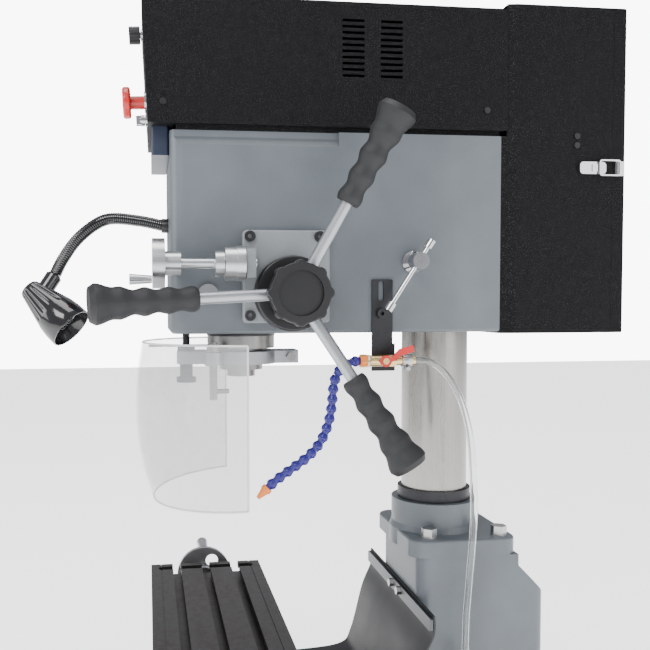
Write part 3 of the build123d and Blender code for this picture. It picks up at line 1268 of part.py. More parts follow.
def quill():
    """Quill sleeve with rack flat, sliding in the barrel."""
    with BuildPart() as sleeve:
        with BuildSketch(Plane.XY.offset(QUILL_BOTTOM)):
            with Locations((0, SPINDLE_Y)):
                Circle(QUILL_R)
        extrude(amount=QUILL_TOP - QUILL_BOTTOM)
        with Locations((0, SPINDLE_Y, QUILL_TOP)):
            Hole(SPINDLE_R + RUN)
        # Rack flat for the pinion along the working length.
        with BuildSketch(Plane.XY.offset(STOP_HIGH + 20)):
            with Locations((0, SPINDLE_Y + QUILL_R)):
                Rectangle(26, 2 * FLAT_DEPTH)
        extrude(amount=QUILL_TOP - STOP_HIGH - 40, mode=Mode.SUBTRACT)
    save(sleeve, "quill")


def depth_stop():
    """Cast bracket clamped on the quill, its depth rod and knob, and the guard's post."""
    rod_y = SPINDLE_Y - DEPTH_ROD_FRONT
    post_y = SPINDLE_Y - GUARD_POST_FRONT
    with BuildPart() as bracket:
        with BuildSketch(Plane.XY.offset(STOP_LOW)):
            with Locations((0, SPINDLE_Y)):
                Circle(STOP_R)
            with Locations((0, SPINDLE_Y - 78)):
                RectangleRounded(46, 66, 14)
            with Locations((GUARD_POST_X / 2 + 12, post_y)):
                RectangleRounded(62, 26, 10)
            with Locations((0, SPINDLE_Y + 76)):
                Rectangle(40, 44)
        extrude(amount=STOP_HIGH - STOP_LOW)
        fillet(bracket.faces().sort_by(Axis.Z)[-1].edges(), 2)
        with BuildSketch(Plane.XY.offset(STOP_LOW - 1)):
            with Locations((0, SPINDLE_Y)):
                Circle(QUILL_R + 0.01)
            with Locations((0, SPINDLE_Y + 78)):
                Rectangle(4, 60)
            with Locations((0, rod_y)):
                Circle(DEPTH_ROD_R + 0.05)
            with Locations((GUARD_POST_X, post_y)):
                Circle(GUARD_POST_R + 0.05)
        extrude(amount=STOP_HIGH - STOP_LOW + 2, mode=Mode.SUBTRACT)
    save(bracket, "depth_bracket")
    with BuildPart() as rod:
        for radius, low, height in ((DEPTH_ROD_R, 663, 250), (15, STOP_HIGH, 8), (11, 670, STOP_LOW - 670),
                                    (17, 661, 9)):
            with BuildSketch(Plane.XY.offset(low)):
                with Locations((0, rod_y)):
                    Circle(radius)
            extrude(amount=height)
    save(rod, "depth_rod")
    with BuildPart() as post:
        with BuildSketch(Plane.XY.offset(636)):
            with Locations((GUARD_POST_X, post_y)):
                Circle(GUARD_POST_R)
        extrude(amount=GUARD_ARM_Z + 6 - 636)
        with BuildSketch(Plane.XY.offset(STOP_HIGH)):
            with Locations((GUARD_POST_X, post_y)):
                Circle(11)
        extrude(amount=GUARD_ARM_Z - CLEAR - STOP_HIGH)
        # Thumb screw across the post's lower end.
        with BuildSketch(Plane.XZ.offset(-post_y)):
            with Locations((GUARD_POST_X, 650)):
                Circle(4)
        extrude(amount=-26)
        # Clamp bolt through the bracket's split ears.
        with BuildSketch(Plane.YZ.offset(20)):
            with Locations((SPINDLE_Y + 84, (STOP_LOW + STOP_HIGH) / 2)):
                RegularPolygon(8, 6)
        extrude(amount=9)
    save(post, "guard_post")


def guard():
    """Curved clear shield and the strap that hangs it on the post."""
    post_y = SPINDLE_Y - GUARD_POST_FRONT
    with BuildPart() as shield:
        with BuildSketch(Plane.XY.offset(GUARD_LOW)):
            with BuildLine():
                CenterArc((0, SPINDLE_Y + 6), GUARD_R, 185, 170)
                CenterArc((0, SPINDLE_Y + 6), GUARD_R - GUARD_WALL, 185, 170)
                for angle in (185, 355):
                    direction = Vector(math.cos(math.radians(angle)), math.sin(math.radians(angle)))
                    centre = Vector(0, SPINDLE_Y + 6)
                    Line(centre + direction * GUARD_R, centre + direction * (GUARD_R - GUARD_WALL))
            make_face()
        extrude(amount=GUARD_HIGH - GUARD_LOW)
        # Strap from the post to the shield.
        wall = SPINDLE_Y + 6 - math.sqrt((GUARD_R - GUARD_WALL) ** 2 - (GUARD_POST_X + 8) ** 2)
        reach = post_y - wall - SEAT
        with BuildSketch(Plane.XY.offset(GUARD_ARM_Z)):
            with Locations((GUARD_POST_X, post_y)):
                Circle(12)
            with Locations((GUARD_POST_X, post_y - reach / 2)):
                Rectangle(16, reach)
            with Locations((GUARD_POST_X, post_y)):
                Circle(GUARD_POST_R + RUN, mode=Mode.SUBTRACT)
        extrude(amount=3)
    save(shield, "guard_shield")


def spindle():
    """Spindle with its tapered nose, and the drawbar down its middle."""
    with BuildPart() as shaft:
        for radius, low, high in ((SPINDLE_NOSE_R, SPINDLE_NOSE_Z, QUILL_BOTTOM - 0.2),
                                  (SPINDLE_R, QUILL_BOTTOM - 0.2, SPINDLE_TOP)):
            with BuildSketch(Plane.XY.offset(low)):
                with Locations((0, SPINDLE_Y)):
                    Circle(radius)
            extrude(amount=high - low)
        with Locations((0, SPINDLE_Y, SPINDLE_TOP)):
            Hole(DRAWBAR_R + 0.5)
        with BuildSketch(Plane.XY.offset(SPINDLE_NOSE_Z)):
            with Locations((0, SPINDLE_Y)):
                Circle(SPINDLE_BORE_R)
        extrude(amount=SPINDLE_BORE_DEPTH, mode=Mode.SUBTRACT)
        low = SPINDLE_NOSE_Z + SPINDLE_BORE_DEPTH + 2
        with BuildSketch(Plane.XY.offset(low)):
            with Locations((0, SPINDLE_Y)):
                Circle(DRAWBAR_R)
        extrude(amount=SPINDLE_TOP + 1 - low)
        with BuildSketch(Plane.XY.offset(SPINDLE_TOP + 0.2)):
            with Locations((0, SPINDLE_Y)):
                RegularPolygon(11, 6)
        extrude(amount=16)
    save(shaft, "spindle")


# ---- capstan --------------------------------------------------------------------------------
def rod_plane(angle, distance):
    """Plane across a capstan rod, at a distance from the hub's centre."""
    turn, cone = math.radians(angle), math.radians(ROD_CONE)
    # Angle 0 points to the machine's rear, 90 up.
    outward = Vector(0, math.cos(turn), math.sin(turn))
    direction = outward * math.cos(cone) + Vector(math.sin(cone), 0, 0)
    start = Vector(HUB_FACE + ROD_OFFSET, FEED_Y, FEED_Z)
    across = Vector(math.cos(cone), 0, 0) - outward * math.sin(cone)
    return Plane(start + direction * distance, x_dir=across, z_dir=direction)


def capstan():
    """Hub, pinion shaft, three rods and their grips, and the lobed clutch knob."""
    centre = (FEED_Y, FEED_Z)
    with BuildPart() as hub:
        with BuildSketch(Plane.YZ.offset(PLATE_FACE + CLEAR)):
            with Locations(centre):
                Circle(HUB_R)
                Circle(PINION_SHAFT_R + 0.01, mode=Mode.SUBTRACT)
        extrude(amount=HUB_FACE - PLATE_FACE - CLEAR)
        fillet(hub.faces().sort_by(Axis.X)[-1].edges().group_by(SortBy.LENGTH)[-1], 4)
        with BuildSketch(Plane.YZ.offset(HUB_FACE)):
            with Locations(centre):
                Circle(38)
                Circle(PINION_SHAFT_R + 0.01, mode=Mode.SUBTRACT)
        extrude(amount=42)
        for angle in ROD_ANGLES:
            with BuildSketch(rod_plane(angle, 22)):
                Circle(ROD_R + 0.02)
            extrude(amount=60, mode=Mode.SUBTRACT)
    save(hub, "capstan_hub")
    with BuildPart() as shaft:
        for radius, start, end in ((PINION_SHAFT_R, -HEAD_HALF - 18, KNOB_FACE - 22), (PINION_R, -12.5, 12.5)):
            with BuildSketch(Plane.YZ.offset(start)):
                with Locations(centre):
                    Circle(radius)
            extrude(amount=end - start)
    save(shaft, "pinion_shaft")
    with BuildPart() as rods:
        for angle in ROD_ANGLES:
            with BuildSketch(rod_plane(angle, 22.5)):
                Circle(ROD_R)
            extrude(amount=GRIP_START + 60 - 22.5)
    save(rods, "capstan_rods")
    with BuildPart() as grips:
        for angle in ROD_ANGLES:
            length = ROD_REACH - GRIP_START
            profile = [(16.5, 0), (19.2, 12), (16, 27), (20, 44), (16.8, 60), (21.2, 78), (18, 94),
                       (24, 114), (23.4, 124), (29, 142), (30, 150), (25, length), (0, length)]
            across = rod_plane(angle, GRIP_START)
            plane = Plane(across.origin, x_dir=across.x_dir, z_dir=across.x_dir.cross(across.z_dir))
            with BuildSketch(plane):
                with BuildLine():
                    wave = [plane_point(plane, across, r, h) for r, h in profile]
                    start = plane_point(plane, across, 0, 0)
                    Line(start, wave[0])
                    Spline(*wave[:-2])
                    Polyline(wave[-3], wave[-2], wave[-1], start)
                make_face()
            revolve(axis=Axis(across.origin, across.z_dir))
            with BuildSketch(across):
                Circle(ROD_R + 0.02)
            extrude(amount=61, mode=Mode.SUBTRACT)
    save(grips, "capstan_grips")
    with BuildPart() as knob:
        with BuildSketch(Plane.YZ.offset(HUB_FACE + 42 + CLEAR)):
            with Locations(centre):
                Circle(KNOB_R - 4)
                with PolarLocations(KNOB_R - 10, 8):
                    Circle(10)
        extrude(amount=KNOB_FACE - HUB_FACE - 42 - CLEAR)
        fillet(knob.faces().sort_by(Axis.X)[-1].edges(), 2)
        with BuildSketch(Plane.YZ.offset(KNOB_FACE - 6)):
            with Locations(centre):
                Circle(34)
        extrude(amount=8, mode=Mode.SUBTRACT)
        with BuildSketch(Plane.YZ.offset(HUB_FACE + 40)):
            with Locations(centre):
                Circle(PINION_SHAFT_R + RUN)
        extrude(amount=KNOB_FACE - 21 - HUB_FACE - 40, mode=Mode.SUBTRACT)
    save(knob, "clutch_knob")


def plane_point(plane, across, radius, height):
    """Point of a grip's outline, given by its radius and height, in the sketch's own axes."""
    spot = across.origin + across.x_dir * radius + across.z_dir * height
    local = plane.to_local_coords(spot)
    return (local.X, local.Y)


def fine_feed():
    """Fine-feed shaft with its dial, collar and wheel, and the turning handle on the wheel."""
    front = SPINDLE_Y - PLATE_FRONT
    with BuildPart() as feed:
        # Each step: radius, distance in front of the plate's edge, length.
        for radius, start, width in ((FINE_SHAFT_R, -18, 136), (DIAL_R, CLEAR, 13), (DIAL_R - 1, 13.4, 18),
                                     (20, 32, 14), (18.5, 98, 24), (WHEEL_R, 122, 19)):
            with BuildSketch(Plane((FINE_X, front - start, FINE_Z), x_dir=(1, 0, 0), z_dir=(0, -1, 0))):
                Circle(radius)
            extrude(amount=width)
    save(feed, "fine_feed")
    with BuildPart() as handle:
        with BuildSketch(Plane((FINE_X, front - 141.4, FINE_Z - 24), x_dir=(1, 0, 0), z_dir=(0, -1, 0))):
            Circle(6)
        extrude(amount=34, taper=-4)
    save(handle, "fine_handle")


def head_lock():
    """Clamp screw through the split barrel, and its sliding tommy bar."""
    with BuildPart() as screw:
        for radius, start, end in ((LOCK_R, -48, 171), (18, HEAD_HALF + CLEAR, HEAD_HALF + 5),
                                   (13.5, HEAD_HALF + 5, 171)):
            with BuildSketch(Plane.YZ.offset(start)):
                with Locations((LOCK_Y, LOCK_Z)):
                    Circle(radius)
            extrude(amount=end - start)
        with BuildSketch(bar_plane(-30)):
            Circle(4 + RUN)
        extrude(amount=60, mode=Mode.SUBTRACT)
    save(screw, "lock_screw")
    with BuildPart() as bar:
        with BuildSketch(bar_plane(-BAR_LOW)):
            Circle(4)
        extrude(amount=BAR_LOW + BAR_HIGH)
        for start in (-BAR_LOW - 1, BAR_HIGH - 13):
            with BuildSketch(bar_plane(start)):
                Circle(7.2)
            extrude(amount=14)
    save(bar, "lock_bar")


BAR_LOW = 92.0
BAR_HIGH = 38.0


def bar_plane(distance):
    """Plane across the tommy bar, at a distance up it from the screw's axis."""
    direction = Vector(0, 0.545, 0.838)
    return Plane(Vector(158, LOCK_Y, LOCK_Z) + direction * distance, x_dir=(1, 0, 0), z_dir=direction)


def main():
    """Build every piece into parts/."""
    os.makedirs("parts", exist_ok=True)
    for make in (base_casting, column_flange, column_tube, hex_bolts, way_cover, hose_fittings, saddle,
                 cross_feed, table, lift_rack, head_casting, quill_guide, top_cover, rear_box, rear_door,
                 latch, controls, feed_plate, head_screws, oil_sight, coolant_bracket, coolant_valve,
                 jointed_hose, motor, drive, spring_housing, lamp, lift_gears, quill, depth_stop, guard,
                 spindle, capstan, fine_feed, head_lock):
        print(make.__name__)
        make()
    hose(HOSE_UPPER, "hose_upper")
    hose(HOSE_LOWER, "hose_lower")


main()
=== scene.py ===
"""Looks of the round-column mill drill: finishes, hoses, lamp, rubber apron and small fittings.

Metres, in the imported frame: +Z up, +X to the operator's right, -Y to the operator.
"""

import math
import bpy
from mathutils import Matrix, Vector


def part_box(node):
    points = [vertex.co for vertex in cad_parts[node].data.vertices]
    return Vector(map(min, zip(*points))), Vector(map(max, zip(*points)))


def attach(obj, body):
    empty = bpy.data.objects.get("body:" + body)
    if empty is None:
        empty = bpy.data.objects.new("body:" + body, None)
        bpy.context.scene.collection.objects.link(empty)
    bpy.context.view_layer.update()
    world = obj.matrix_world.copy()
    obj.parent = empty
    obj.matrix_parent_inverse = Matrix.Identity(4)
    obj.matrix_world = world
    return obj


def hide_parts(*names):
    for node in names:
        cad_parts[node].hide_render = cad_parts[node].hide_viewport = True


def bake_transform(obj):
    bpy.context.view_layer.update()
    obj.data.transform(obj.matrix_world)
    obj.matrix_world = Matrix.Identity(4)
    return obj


bl_info = {
    "name": "Mill drill looks",
    "version": (1, 0, 0),
    "blender": (4, 5, 0),
    "location": "View3D > Sidebar > Mill drill",
    "description": "Finishes and fittings of a round-column mill drill",
    "category": "Object",
}

import bmesh
import bpy
from mathutils import Matrix, Vector

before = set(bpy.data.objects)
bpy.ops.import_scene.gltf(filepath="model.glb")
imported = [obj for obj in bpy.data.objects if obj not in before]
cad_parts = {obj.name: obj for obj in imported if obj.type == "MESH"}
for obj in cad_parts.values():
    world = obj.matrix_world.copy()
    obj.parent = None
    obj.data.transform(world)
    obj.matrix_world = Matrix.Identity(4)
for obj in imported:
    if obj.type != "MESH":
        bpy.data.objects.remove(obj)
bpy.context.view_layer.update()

# ---- hose routes, valve to joiner and joiner to inlet ----------------------------------------
HOSE_UPPER = [
    (0.150, 0.058, 0.704), (0.150, 0.077, 0.704), (0.150, 0.095, 0.6956), (0.1495, 0.110, 0.682),
    (0.149, 0.1244, 0.663), (0.1485, 0.136, 0.640), (0.148, 0.146, 0.6115), (0.1475, 0.155, 0.5735),
    (0.147, 0.159, 0.524), (0.1465, 0.162, 0.470), (0.146, 0.161, 0.415), (0.1455, 0.157, 0.362),
    (0.145, 0.153, 0.310), (0.144, 0.150, 0.262), (0.144, 0.150, 0.215),
]
HOSE_LOWER = [(0.144, 0.150, 0.176), (0.144, 0.150, 0.146), (0.145, 0.1486, 0.114), (0.146, 0.147, 0.086),
              (0.146, 0.147, 0.060)]
HOSE_R = 0.006
HOSE_BORE_SHARE = 0.68

# ---- lamp ------------------------------------------------------------------------------------
NECK_ROUTE = [(0, -0.339, 0.929), (0.002, -0.347, 0.931), (0.010, -0.378, 0.936), (0.025, -0.421, 0.938),
              (0.038, -0.447, 0.928), (0.050, -0.477, 0.902), (0.060, -0.499, 0.870), (0.064, -0.512, 0.844)]
LAMP_BACK = Vector((0.068, -0.553, 0.822))
LAMP_AIM = Vector((0.318, 0.69, -0.65)).normalized()

# ---- jointed hose ----------------------------------------------------------------------------
LINK_X = 0.150
LINK_LINE = [(-0.0317, 0.7040), (-0.0473, 0.7028), (-0.0606, 0.6946), (-0.0700, 0.6821), (-0.0745, 0.6671),
             (-0.0759, 0.6514), (-0.0772, 0.6357), (-0.0795, 0.6201), (-0.0832, 0.6048), (-0.0885, 0.5899),
             (-0.0957, 0.5759), (-0.1051, 0.5634), (-0.1166, 0.5526), (-0.1292, 0.5432), (-0.1423, 0.5344),
             (-0.1554, 0.5257), (-0.1681, 0.5164), (-0.1800, 0.5060)]
LINK_PROFILE = [(0, 0.02), (0.0058, 0.02), (0.0064, 0.10), (0.0084, 0.36), (0.0086, 0.44), (0.0086, 0.62),
                (0.0080, 0.68), (0.0064, 0.80), (0.0058, 0.92), (0.0058, 1.03), (0, 1.03)]

# ---- chip guard ------------------------------------------------------------------------------
GUARD_Y = -0.199
GUARD_RADIUS = 0.181
GUARD_FOOT = 0.476
GUARD_TOP = 0.731
GUARD_WALL = 0.003
GUARD_START, GUARD_SPAN = 185, 170     # degrees round the spindle
GUARD_BOW = (-0.021, -0.006, 0.003, 0.007, 0.007, 0.003, -0.004)    # swell from foot to top
GUARD_DROOP = 0.011                    # how much lower the sheet's middle hangs
GUARD_STRAP_X, GUARD_STRAP_Y, GUARD_STRAP_Z = 0.060, -0.258, 0.727

FRONT = Vector((0, -1, 0))
BACK = Vector((0, 1, 0))


# ---- shader expressions ----------------------------------------------------------------------
class Signal:
    """A shader socket whose arithmetic adds Math nodes."""

    def __init__(self, tree, socket):
        self.tree = tree
        self.socket = socket

    def _math(self, operation, first, second=None):
        node = self.tree.nodes.new("ShaderNodeMath")
        node.operation = operation
        for slot, value in zip(node.inputs, (first, second)):
            if isinstance(value, Signal):
                self.tree.links.new(value.socket, slot)
            elif value is not None:
                slot.default_value = value
        return Signal(self.tree, node.outputs[0])

    def __add__(self, other):
        return self._math("ADD", self, other)

    __radd__ = __add__

    def __sub__(self, other):
        return self._math("SUBTRACT", self, other)

    def __rsub__(self, other):
        return self._math("SUBTRACT", other, self)

    def __mul__(self, other):
        return self._math("MULTIPLY", self, other)

    __rmul__ = __mul__

    def __truediv__(self, other):
        return self._math("DIVIDE", self, other)


class Finish:
    """One material and the nodes that make it."""

    def __init__(self, name):
        self.material = bpy.data.materials.new(name)
        self.material.use_nodes = True
        self.tree = self.material.node_tree
        self.shader = next(n for n in self.tree.nodes if n.type == "BSDF_PRINCIPLED")
        self.place = self.node("ShaderNodeTexCoord", output="Object")

    def node(self, kind, settings=None, inputs=None, output=0):
        """Add a node: settings first, then its sockets' values or links."""
        made = self.tree.nodes.new(kind)
        for key, value in (settings or {}).items():
            if key == "stops":
                ramp = made.color_ramp
                while len(ramp.elements) < len(value):
                    ramp.elements.new(0.5)
                for element, (position, colour) in zip(ramp.elements, value):
                    element.position = position
                    element.color = (*colour, 1) if hasattr(colour, "__len__") else (colour,) * 3 + (1,)
            else:
                setattr(made, key, value)
        for key, value in (inputs or {}).items():
            self.join(made.inputs[key], value)
        return Signal(self.tree, made.outputs[output])

    def join(self, socket, value):
        if isinstance(value, Signal):
            self.tree.links.new(value.socket, socket)
        elif hasattr(value, "__len__") and len(value) == 3 and len(socket.default_value) == 4:
            socket.default_value = (*value, 1)
        else:
            socket.default_value = value

    def set(self, **values):
        """Set the main shader's sockets, spaces in their names written as underscores."""
        for key, value in values.items():
            self.join(self.shader.inputs[key.replace("_", " ")], value)
        return self

    def stretched(self, x, y, z):
        """Object position scaled by axis."""
        return self.node("ShaderNodeMapping", None, {"Vector": self.place, "Scale": (x, y, z)})

    def noise(self, scale, detail=2.0, place=None, roughness=0.5):
        return self.node("ShaderNodeTexNoise", None, {"Vector": place or self.place, "Scale": scale,
                                                      "Detail": detail, "Roughness": roughness})

    def ramp(self, signal, *stops, linear=True):
        return self.node("ShaderNodeValToRGB", {"stops": stops}, {"Fac": signal})

    def mix(self, factor, first, second, blend="MIX"):
        """Colour mix."""
        made = self.tree.nodes.new("ShaderNodeMix")
        made.data_type = "RGBA"
        made.blend_type = blend
        self.join(made.inputs[0], factor)
        self.join(made.inputs[6], first)
        self.join(made.inputs[7], second)
        return Signal(self.tree, made.outputs[2])

    def bump(self, height, distance, strength=1.0):
        self.set(Normal=self.node("ShaderNodeBump", None, {"Height": height, "Distance": distance,
                                                          "Strength": strength}))
        return self


# ---- settings --------------------------------------------------------------------------------
def colour(name, default, description):
    return bpy.props.FloatVectorProperty(name=name, description=description, subtype="COLOR", size=3,
                                         min=0, max=1, default=default)


class DrillColours(bpy.types.PropertyGroup):
    """Colours of the painted and moulded pieces."""
    casting: colour("Casting", (0.112, 0.128, 0.142), "Enamel of the castings")
    plate: colour("Feed plate", (0.235, 0.250, 0.262), "Grey enamel of the feed plate")
    cover: colour("Covers", (0.0045, 0.0045, 0.005), "Textured powder coat of the sheet covers")
    blue: colour("Hose links", (0.018, 0.012, 0.190), "Moulded hose links")
    orange: colour("Nozzle", (0.90, 0.24, 0.03), "Moulded nozzle and nut")
    red: colour("Red parts", (0.62, 0.02, 0.015), "Stop button and valve lever")
    navy: colour("Switch box", (0.012, 0.020, 0.045), "Enamel of the switch box")
    iron: colour("Table", (0.115, 0.108, 0.105), "Ground iron of the table")


class DrillSizes(bpy.types.PropertyGroup):
    """Sizes of the detail pieces."""
    neck_radius: bpy.props.FloatProperty(name="Neck radius",
                                         description="Radius of the gooseneck over its ribs",
                                         default=0.0100, unit="LENGTH")
    neck_rib: bpy.props.FloatProperty(name="Neck rib pitch",
                                      description="Distance between the gooseneck's ribs",
                                      default=0.0036, unit="LENGTH")
    flutes: bpy.props.IntProperty(name="Lamp flutes", description="Cooling flutes round the lamp", default=12)
    edge: bpy.props.FloatProperty(name="Machined edge", description="Rounding of machined edges",
                                  default=0.0006, unit="LENGTH")


def colours():
    return bpy.context.scene.drill_colours


def sizes():
    return bpy.context.scene.drill_sizes


# ---- finishes --------------------------------------------------------------------------------
def enamel(name, tint, grain=0.00035):
    """Satin enamel over a cast skin: fine orange peel, faint mottling."""
    f = Finish(name)
    mottle = f.noise(9, 4)
    speck = f.noise(900, 1)
    shade = f.mix(f.ramp(mottle, (0.3, 0.0), (0.75, 1.0)),
                  [c * 0.86 for c in tint], [min(1, c * 1.12) for c in tint])
    dust = f.ramp(f.noise(160, 5, roughness=0.7), (0.60, 0.0), (0.78, 1.0))
    f.set(Base_Color=f.mix(dust * 0.25, shade, [min(1, c * 1.5) for c in tint]),
          Roughness=0.36 + 0.12 * mottle, Specular_IOR_Level=0.45, Coat_Weight=0.15)
    return f.bump(f.noise(420, 3) + 0.4 * speck, grain, 0.6)


def powder_coat(name, tint):
    """Black textured coat whose sparkle is painted as pale grey flecks in its colour."""
    f = Finish(name)
    grain = f.noise(1500, 2, roughness=0.7)
    painted_glint_fleck = f.ramp(f.noise(1100, 0), (0.70, 0.0), (0.74, 1.0))
    # Pale grey flecks in the colour: painted glints of the coat's sparkle; the same flecks also raise the bump.
    f.set(Base_Color=f.mix(painted_glint_fleck * 0.35, tint, (0.22, 0.22, 0.23)), Roughness=0.40 + 0.2 * grain,
          Specular_IOR_Level=0.10)
    return f.bump(grain + 0.3 * painted_glint_fleck, 0.00030, 0.6)


def ground_metal(name, tint, place, rough=0.3, dull=0.12, patina=None):
    """Ground metal: fine parallel scratches that spread the gloss, slow stains."""
    f = Finish(name)
    scratch = f.noise(1.0, 3, f.stretched(*place), 0.65)
    stain = f.noise(7, 5, roughness=0.6)
    fine = f.noise(70, 4, roughness=0.7)
    base = f.mix(f.ramp(stain, (0.32, 0.0), (0.72, 1.0)),
                 [c * 0.8 for c in tint], [min(1, c * 1.1) for c in tint])
    base = f.mix(f.ramp(scratch, (0.35, 0.0), (0.7, 1.0)) * 0.35, base, [min(1, c * 1.35) for c in tint])
    if patina:
        base = f.mix(f.ramp(fine + 0.35 * stain, (0.62, 0.0), (0.84, 1.0)) * 0.55, base, patina)
    f.set(Base_Color=base, Metallic=1.0, Roughness=rough + dull * (scratch + stain - 0.7))
    return f.bump(scratch, 0.00012, 0.5)


def bright_metal(name, tint, rough):
    """Turned, polished or plated metal with faint handling marks."""
    f = Finish(name)
    smear = f.noise(60, 4, roughness=0.6)
    f.set(Base_Color=f.mix(smear, [c * 0.9 for c in tint], tint), Metallic=1.0, Roughness=rough + 0.10 * smear)
    return f.bump(f.noise(300, 2), 0.00004, 0.5)


def moulded(name, tint, rough=0.4, grain=0.00006, scale=1300, coat=0.0):
    """Moulded plastic or rubber with a fine skin texture."""
    f = Finish(name)
    cloud = f.noise(25, 3)
    f.set(Base_Color=f.mix(cloud, [c * 0.85 for c in tint], [min(1, c * 1.12) for c in tint]),
          Roughness=rough + 0.1 * (cloud - 0.5), Coat_Weight=coat)
    return f.bump(f.noise(scale, 2), grain, 0.6)


def clear(name, tint, rough, ior, haze):
    """Clear plastic with a little haze and dust."""
    f = Finish(name)
    dust = f.ramp(f.noise(35, 5, roughness=0.7), (0.4, 0.0), (0.8, 1.0))
    f.set(Base_Color=f.mix(dust * 0.3, tint, (0.85, 0.85, 0.84)), Roughness=rough + haze * dust, IOR=ior,
          Transmission_Weight=1.0)
    return f.bump(f.noise(14, 2), 0.0004, 0.15)


def haze(name, tint, cover):
    """Clear sheet seen as a pale tint: thin gloss with a little dust."""
    f = Finish(name)
    dust = f.ramp(f.noise(40, 5, roughness=0.7), (0.45, 0.0), (0.8, 1.0))
    f.set(Base_Color=tint, Alpha=cover + 0.06 * dust, Roughness=0.10 + 0.1 * dust)
    return f


FINISHES = {}


def build_finishes():
    """Make every finish once."""
    c = colours()
    FINISHES.update({
        "casting": enamel("Casting enamel", c.casting),
        "plate": enamel("Plate enamel", c.plate, 0.0002),
        "cover": powder_coat("Black powder coat", c.cover),
        "navy": enamel("Switch box enamel", c.navy, 0.0002),
        "table": ground_metal("Ground iron", c.iron, (25, 900, 900), 0.36, 0.2, (0.075, 0.058, 0.050)),
        "column": ground_metal("Ground column", (0.33, 0.315, 0.295), (500, 500, 14), 0.24, 0.14),
        "steel": ground_metal("Turned steel", (0.30, 0.295, 0.285), (60, 60, 1600), 0.26),
        "blackened": ground_metal("Blackened steel", (0.045, 0.045, 0.048), (80, 80, 600), 0.4),
        "strip": ground_metal("Dark strip", (0.10, 0.105, 0.11), (40, 300, 900), 0.36),
        "aluminium": bright_metal("Turned aluminium", (0.56, 0.57, 0.58), 0.26),
        "satin": bright_metal("Satin aluminium", (0.42, 0.43, 0.45), 0.36),
        "chrome": bright_metal("Chrome", (0.58, 0.58, 0.59), 0.06),
        "zinc": bright_metal("Zinc plate", (0.50, 0.50, 0.50), 0.30),
        "brass": bright_metal("Brass", (0.78, 0.58, 0.27), 0.24),
        "black": moulded("Black plastic", (0.007, 0.007, 0.008), 0.36),
        "gloss": moulded("Gloss black", (0.008, 0.008, 0.009), 0.14, 0.00002, 400, 0.5),
        "grip": moulded("Grip rubber", (0.0105, 0.011, 0.0125), 0.62, 0.00012, 1100),
        "rubber": moulded("Apron rubber", (0.012, 0.012, 0.013), 0.5, 0.0003, 260),
        "red": moulded("Red plastic", c.red, 0.3, 0.00004, 700, 0.3),
        "blue": moulded("Blue plastic", c.blue, 0.33, 0.00005, 900),
        "orange": moulded("Orange plastic", c.orange, 0.32, 0.00005, 900),
        "tape": moulded("White tape", (0.78, 0.77, 0.74), 0.6, 0.0002, 700),
        "vinyl": clear("Clear vinyl", (0.93, 0.95, 0.95), 0.05, 1.36, 0.12),
        "sheet": haze("Clear sheet", (0.60, 0.61, 0.61), 0.26),
        # Pale and nearly opaque: painted highlight of the guard's cut edges.
        "painted_edge_highlight": haze("Painted edge highlight", (0.88, 0.89, 0.89), 0.70),
        "lens": clear("Lamp lens", (0.80, 0.88, 0.90), 0.08, 1.3, 0.05),
    })


NODE_FINISH = {
    "casting": ("base_casting", "column_flange", "head_casting", "saddle", "motor"),
    "plate": ("feed_plate",),
    "cover": ("top_cover", "rear_box", "rear_door"),
    "navy": ("control_box",),
    "table": ("table",),
    "column": ("column_tube",),
    "steel": ("quill_guide", "quill", "spindle", "pinion_shaft", "guard_post", "lift_gear"),
    "blackened": ("lift_rack", "depth_rod", "lift_crank", "coolant_bracket", "head_screws"),
    "strip": ("way_cover_strip",),
    "aluminium": ("fine_feed", "fine_handle", "table_feed_screw", "cross_feed_screw", "motor_pulley",
                  "spindle_pulley", "spring_housing"),
    "satin": ("capstan_rods", "depth_bracket"),
    "chrome": ("control_bezels", "selector_switch", "lock_screw", "lock_bar", "latch_lever", "latch_bail",
               "latch_strike", "oil_sight"),
    "zinc": ("hex_bolts",),
    "brass": ("coolant_valve", "hose_joiner", "hose_inlet"),
    "black": ("capstan_hub", "clutch_knob", "speed_knob"),
    "grip": ("capstan_grips", "drive_belt"),
    "red": ("estop_button", "valve_lever"),
    "blue": ("jointed_hose",),
    "orange": ("coolant_nozzle",),
    "sheet": ("guard_shield",),
}
BEVELLED = ("base_casting", "column_flange", "table", "top_cover", "rear_box", "rear_door", "way_cover_strip",
            "feed_plate", "coolant_bracket", "hex_bolts", "head_screws", "depth_bracket", "fine_feed",
            "coolant_valve", "latch_lever", "latch_strike", "control_box", "quill_guide", "lift_rack", "saddle",
            "lock_screw", "speed_knob", "selector_switch", "depth_rod", "hose_joiner", "hose_inlet",
            "coolant_nozzle", "capstan_hub")


# ---- mesh helpers ----------------------------------------------------------------------------
def centre(node):
    low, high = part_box(node)
    return (Vector(low) + Vector(high)) / 2


def low(node):
    return Vector(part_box(node)[0])


def high(node):
    return Vector(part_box(node)[1])


def make_piece(name, bm, finish, body, smooth=True):
    """Finish a bmesh as a piece that rides on a body."""
    bmesh.ops.recalc_face_normals(bm, faces=bm.faces)
    mesh = bpy.data.meshes.new(name)
    bm.to_mesh(mesh)
    bm.free()
    piece = bpy.data.objects.new(name, mesh)
    bpy.context.scene.collection.objects.link(piece)
    mesh.materials.append(FINISHES[finish].material)
    for face in mesh.polygons:
        face.use_smooth = smooth
    if smooth:
        mesh.set_sharp_from_angle(angle=math.radians(40))
    if body:
        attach(piece, body)
    return piece


